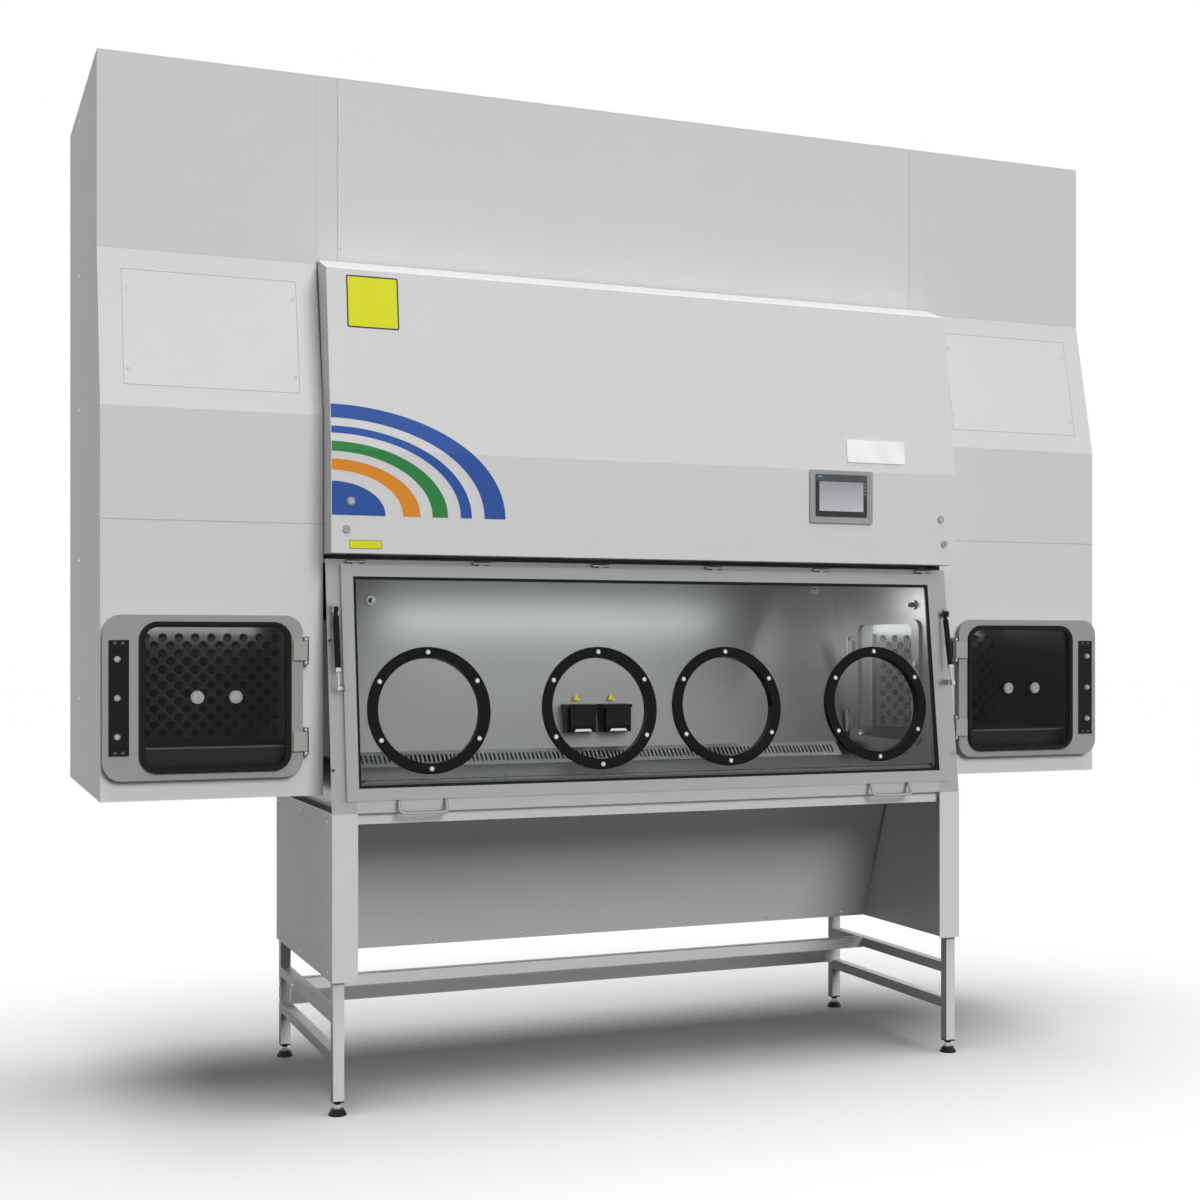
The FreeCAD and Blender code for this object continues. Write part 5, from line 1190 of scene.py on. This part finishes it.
@dataclass
class TowerWork(Assembly):
    """Side towers, centre housing and their covers and screws."""

    half: float = 1560.0
    back_y: float = 928.0
    centre_cover_y: float = 84.0
    cover_x: tuple[float, float] = (1049.0, 1488.0)
    slope_foot: float = 1878.0
    slope: float = 84 / 427
    side_seams: tuple[float, ...] = (2775.0, 2328.0, 1938.0, 1500.0, 1100.0)

    def build(self) -> None:
        """Dresses the towers and adds their screws."""
        p = self.palette
        self.dress(p.body, "centre_housing", "tower_tops", "tower_middles", "back_covers",
                   "passbox_housings")
        self.dress(p.panel, "access_covers")
        self.dress(p.liner, "passbox_liners", "passbox_trays_and_panels")
        self.dress(p.media, "hepa_filters")
        self.dress(p.fan, "circulation_fan")
        self.dress(p.box, "control_box")
        self.screws()
        self.joints()

    def joints(self) -> None:
        """Builds the grey sealing line in the joint above each pass box's housing."""
        joint_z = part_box("passbox_housings")[1][2] * 1000
        for side, sign in SIDES:
            near, far = sorted((sign * 979.0, sign * 1558.0))
            line = Blank.block("joint_seal_%s" % side, at(near, -0.2, joint_z - 0.9),
                               at(far, -0.02, joint_z + 0.9))
            line.pick_facing(Facing.FRONT).inset(0.0004, -0.0001)
            self.hang(line.settle(), self.palette.joint)

    def screws(self) -> None:
        """Sets the screws of the covers and of the side and rear seams."""
        slope = Facing.TOWER_SLOPE.normal
        spots = [Spot.on(x, self.centre_cover_y - CLEAR, z) for x in (-910, 910) for z in (2660, 2355)]
        for _, sign in SIDES:
            side, side_x = Facing.outward(sign), sign * (self.half + CLEAR)
            seats = [at(sign * x, (z - self.slope_foot) * self.slope, z)
                     for x in self.cover_x for z in (2198, 1981)]
            spots += [Spot(seat + slope * (CLEAR / 1000), slope) for seat in seats]
            spots += [Spot.on(side_x, y, z, side) for z in self.side_seams for y in (584, 608)]
            spots.append(Spot.on(side_x, 14, 1594, side))
            spots += [Spot.on(sign * column, self.back_y + CLEAR, z, Facing.BACK)
                      for z in (2740, 2300, 1860, 1420, 980) for column in (1010, 1530)]
        self.fix(button_screw("cover_screw"), "cover_screws", spots, self.palette.bright)


@dataclass
class PassBoxWork(Assembly):
    """One pass box: its outer door, its lined box and the door into the chamber."""

    side: str
    sign: int
    window_x: float = 1266.0
    door_z: float = 1118.0
    strip_x: float = 1515.0
    cap_y: float = -28.4
    panel_y: float = 418.0
    hinge_x: float = 1027.0
    hinge_z: tuple[float, float] = (996.0, 1240.0)
    tray_z: float = 985.0
    tray_front_y: float = 22.0
    rim: tuple[float, float] = (397.0, 397.0)
    rim_corner: float = 48.0
    dish_span: tuple[int, int] = (1026, 1478)
    dish_pitch: int = 46
    dish_low: float = 1003.0
    dish_rise: float = 22.8

    def build(self) -> None:
        """Dresses the pass box and adds its small hardware."""
        p = self.palette
        for finish, part in ((p.door, "door_leaf"), (p.rubber, "door_trim"), (p.smoked, "door_pane"),
                             (p.hinge, "door_hardware"), (p.window, "inner_door"),
                             (p.glass, "inner_pane"), (p.bright, "inner_knob")):
            self.dress(finish, self.named(part))
        self.caps()
        self.strip_screws()
        self.hinge_screws()
        self.rim_bead()
        self.tray_edge_highlight()
        self.dishes()

    def named(self, part: str) -> str:
        """The name of one of this side's pieces or bodies."""
        return "%s_%s" % (self.side, part)

    def spot(self, x: float, y: float, z: float) -> Spot:
        """A place given for the right-hand box, mirrored for the left one."""
        return Spot.on(self.sign * x, y, z)

    def caps(self) -> None:
        """Sets a bright cap over each of the three lock domes and the two fittings on the glass."""
        p, door = self.palette, self.named("outer_door")
        spots = [self.spot(1519, self.cap_y, self.door_z + 100.5 * i) for i in (-1, 0, 1)]
        self.fix(dome_bolt("lock_cap", 0.0072, 0.0062, 28), self.named("lock_caps"), spots, p.lock, door)
        spots = [self.spot(self.window_x + x, self.cap_y, self.door_z) for x in (-50, 50)]
        self.fix(button_screw("fitting_cap", 0.0125, 0.0046, 32), self.named("fitting_caps"), spots,
                 p.fitting, door)

    def strip_screws(self) -> None:
        """Sets the four small dark screws at the ends of the lock strip."""
        spots = [self.spot(self.strip_x + x, -23.0 - CLEAR, self.door_z + z)
                 for x in (-10, 10) for z in (-142, 142)]
        self.fix(button_screw("strip_screw", 0.0042, 0.0015, 14), self.named("strip_screws"), spots,
                 self.palette.shade, self.named("outer_door"))

    def hinge_screws(self) -> None:
        """Sets a small screw above and below the knuckle of each hinge block."""
        seats = [self.seat("fixed_pivots", self.sign * self.hinge_x, z + step)
                 for z in self.hinge_z for step in (-31, 31)]
        front = Facing.FRONT.normal
        spots = [Spot(seat + front * (CLEAR / 1000), front) for seat in seats]
        self.fix(button_screw("hinge_screw", 0.0034, 0.0018, 16), self.named("hinge_screws"), spots,
                 self.palette.bright)

    def rim_bead(self) -> None:
        """Builds the rounded glossy bead that covers the rubber rim of the door's glass."""
        x, (width, height) = self.sign * self.window_x, self.rim
        rubber = self.seat(self.named("door_trim"), x, self.door_z + height / 2 - 5.5)
        centre = at(x, 0, self.door_z)
        centre.y = rubber.y - CLEAR / 1000
        bead = Blank.plate(self.named("rim_bead"), centre, width / 1000, height / 1000)
        bead.edit("VERT")
        bpy.ops.mesh.select_all(action="SELECT")
        bpy.ops.mesh.bevel(offset=self.rim_corner / 1000, segments=10, affect="VERTICES")
        bead.pick_all()
        for thickness, depth in ((0.0009, 0.0016), (0.0018, 0.0010), (0.0056, 0.0), (0.0018, -0.0010),
                                 (0.0009, -0.0016)):
            bead.inset(thickness, depth)
        bead.drop()
        bpy.ops.mesh.select_mode(type="EDGE")
        bpy.ops.mesh.select_all(action="DESELECT")
        bpy.ops.mesh.select_non_manifold()
        bpy.ops.mesh.bridge_edge_loops()
        self.hang(bead.settle(60), self.palette.rubber, self.named("outer_door"))

    def tray_edge_highlight(self) -> None:
        """Builds the folded lip along the front edge of the pass box's tray, with a painted highlight: its
        white finish stands for the light that the edge catches.
        """
        near, far = sorted((self.sign * 1004.0, self.sign * 1524.0))
        top, front = self.tray_z, self.tray_front_y
        lip = Blank.block(self.named("tray_lip"), at(near, front - 2.6, top - 4.6),
                          at(far, front - 0.1, top))
        lip.pick_edges(lambda a, b: abs(a.x - b.x) > 0.1 and a.y < at(0, front - 2, 0).y)
        lip.bevel(0.001, 3)
        # The white finish paints the highlight along the tray's edge.
        self.hang(lip.settle(), self.palette.white)

    def dishes(self) -> None:
        """Sets the staggered round dishes of the pass box's rear panel."""
        dish = Blank.rod("dish", 0.0122, 0.0008, 16)
        dish.pick_facing(Facing.UP).taper(0.94, (0, 0, 0.0008)).inset(0.0010, 0.0010)
        dish.inset(0.0010, -0.0002).inset(0.0022, -0.0014)
        pitch, (start, end) = self.dish_pitch, self.dish_span
        spots = [self.spot(x, self.panel_y - CLEAR, self.dish_low + self.dish_rise * row)
                 for row in range(13)
                 for x in range(start + pitch // 2 * (row % 2), end, pitch)]
        self.fix(dish, self.named("panel_dishes"), spots, self.palette.black)


@dataclass
class Studio:
    """Pale floor, soft lamps and the camera of the photograph."""

    floor_name: ClassVar[str] = "studio_floor"
    surround: float = 0.10
    lens: float = 51.24
    shift: tuple[float, float] = (-0.00175, 0.0366)
    eye: tuple[float, float, float] = (-1.9965, -4.9748, 1.2580)
    pan: float = -0.381

    def build(self) -> None:
        """Builds the floor, the world, the lamps and the camera."""
        self.floor()
        self.world()
        self.flag(self.far_lamp("front_lamp", (0.24, -1.0, 0.58), 30.0, 0.78))
        self.far_lamp("top_lamp", (0.05, 0.0, 1.0), 56.0, 0.90)
        self.flag(self.far_lamp("rear_lamp", (0.35, 1.0, 0.45), 40.0, 0.42))
        self.lamp("chamber_lamp", at(0, 300, 1466), at(0, 440, 1470), (1.2, 0.07), 1.05, (0.93, 1.0, 0.99))
        self.lamp("door_lamp", at(700, 270, 1380), at(977, 300, 1230), (0.3, 0.12), 0.7)
        for side, sign in SIDES:
            self.lamp("%s_box_lamp" % side, at(sign * 1270, 330, 1312), at(sign * 1270, 418, 1262),
                      (0.42, 0.05), 0.5)
        self.camera()
        bpy.context.scene.view_settings.view_transform = "Standard"

    def floor(self) -> None:
        """Lays the pale floor, which turns white for the camera where nothing shades it."""
        floor = Blank.start(self.floor_name, bpy.ops.mesh.primitive_plane_add, size=80).thing
        recipe = Recipe("pale floor")
        seen = recipe.seen()
        diffuse = recipe.node("ShaderNodeBsdfDiffuse", inputs={
            "Color": recipe.mix(seen, (0.14, 0.14, 0.14), (0.96, 0.96, 0.96))})
        glow = recipe.node("ShaderNodeEmission", inputs={"Color": (1, 1, 1), "Strength": seen * 0.04})
        both = recipe.node("ShaderNodeAddShader", inputs={0: diffuse.outputs[0], 1: glow.outputs[0]})
        floor.data.materials.append(recipe.close(both.outputs[0]))

    def world(self) -> None:
        """Sets a soft grey surround that the camera, gloss and glass see as white."""
        world = bpy.data.worlds.new("studio surround")
        bpy.context.scene.world = world
        recipe = Recipe("studio surround", world)
        level = (recipe.seen() > 0.5) * (1.0 - self.surround) + self.surround
        sky = recipe.node("ShaderNodeBackground", inputs={"Color": (1, 1, 1), "Strength": level})
        recipe.close(sky.outputs[0])

    def flag(self, lamp: bpy.types.Object) -> None:
        """Keeps a lamp's light off the floor, as a card in front of it does in a studio.

        Args:
            lamp: The lamp.
        """
        shaded = bpy.data.collections.new("flagged_off")
        shaded.objects.link(bpy.data.objects[self.floor_name])
        lamp.light_linking.receiver_collection = shaded
        shaded.collection_objects[0].light_linking.link_state = "EXCLUDE"

    def light(self, name: str, kind: str, aim: Vector, **settings: object) -> bpy.types.Object:
        """Adds a lamp that shines in a direction.

        Args:
            name: Name of the lamp.
            kind: Blender's kind of lamp.
            aim: Direction in which it shines.
            settings: What is set on it.

        Returns:
            The lamp.
        """
        data = bpy.data.lights.new(name, kind)
        for key, value in settings.items():
            setattr(data, key, value)
        lamp = bpy.data.objects.new(name, data)
        lamp.rotation_euler = aim.to_track_quat("-Z", "Y").to_euler()
        bpy.context.collection.objects.link(lamp)
        return lamp

    def far_lamp(self, name: str, towards: Colour, spread: float, level: float) -> bpy.types.Object:
        """Lights the whole stage evenly from one direction.

        Args:
            name: Name of the lamp.
            towards: Direction from the machine to the lamp.
            spread: Angle over which it shines, in degrees; more is softer.
            level: Share of its colour that a surface facing it gets.

        Returns:
            The lamp.
        """
        lamp = self.light(name, "SUN", -Vector(towards), energy=level * math.pi,
                          angle=math.radians(spread))
        lamp.visible_glossy = False
        return lamp

    def lamp(self, name: str, place: Vector, aim: Vector, size: tuple[float, float],
             power: float, tint: Colour = (1.0, 1.0, 1.0)) -> None:
        """Hangs a flat soft lamp.

        Args:
            name: Name of the lamp.
            place: Where it hangs, in metres.
            aim: The point that it lights.
            size: Its width and depth.
            power: Power in watts.
            tint: Colour of its light.
        """
        lamp = self.light(name, "AREA", aim - place, shape="RECTANGLE", size=size[0],
                          size_y=size[1], energy=power, color=tint)
        lamp.location = place
        lamp.visible_camera = False

    def camera(self) -> None:
        """Places the camera at the photograph's viewpoint."""
        data = bpy.data.cameras.new("photo_camera")
        data.sensor_width = 36.0
        data.lens = self.lens
        data.shift_x, data.shift_y = self.shift
        data.clip_end = 200.0
        camera = bpy.data.objects.new("photo_camera", data)
        camera.location = self.eye
        camera.rotation_euler = (math.pi / 2, 0, self.pan)
        bpy.context.collection.objects.link(camera)
        bpy.context.scene.camera = camera


def main() -> None:
    """Builds every sub-assembly in order."""
    logging.basicConfig(level=logging.INFO, format="%(name)s: %(message)s")
    palette = Palette()
    doors = [PassBoxWork(palette, side, sign) for side, sign in SIDES]
    for assembly in (StandWork(palette), ChamberWork(palette), WindowWork(palette),
                     FasciaWork(palette), TowerWork(palette), *doors, Studio()):
        assembly.build()
        log.info("finished %s", type(assembly).__name__)


if __name__ == "__main__":
    main()
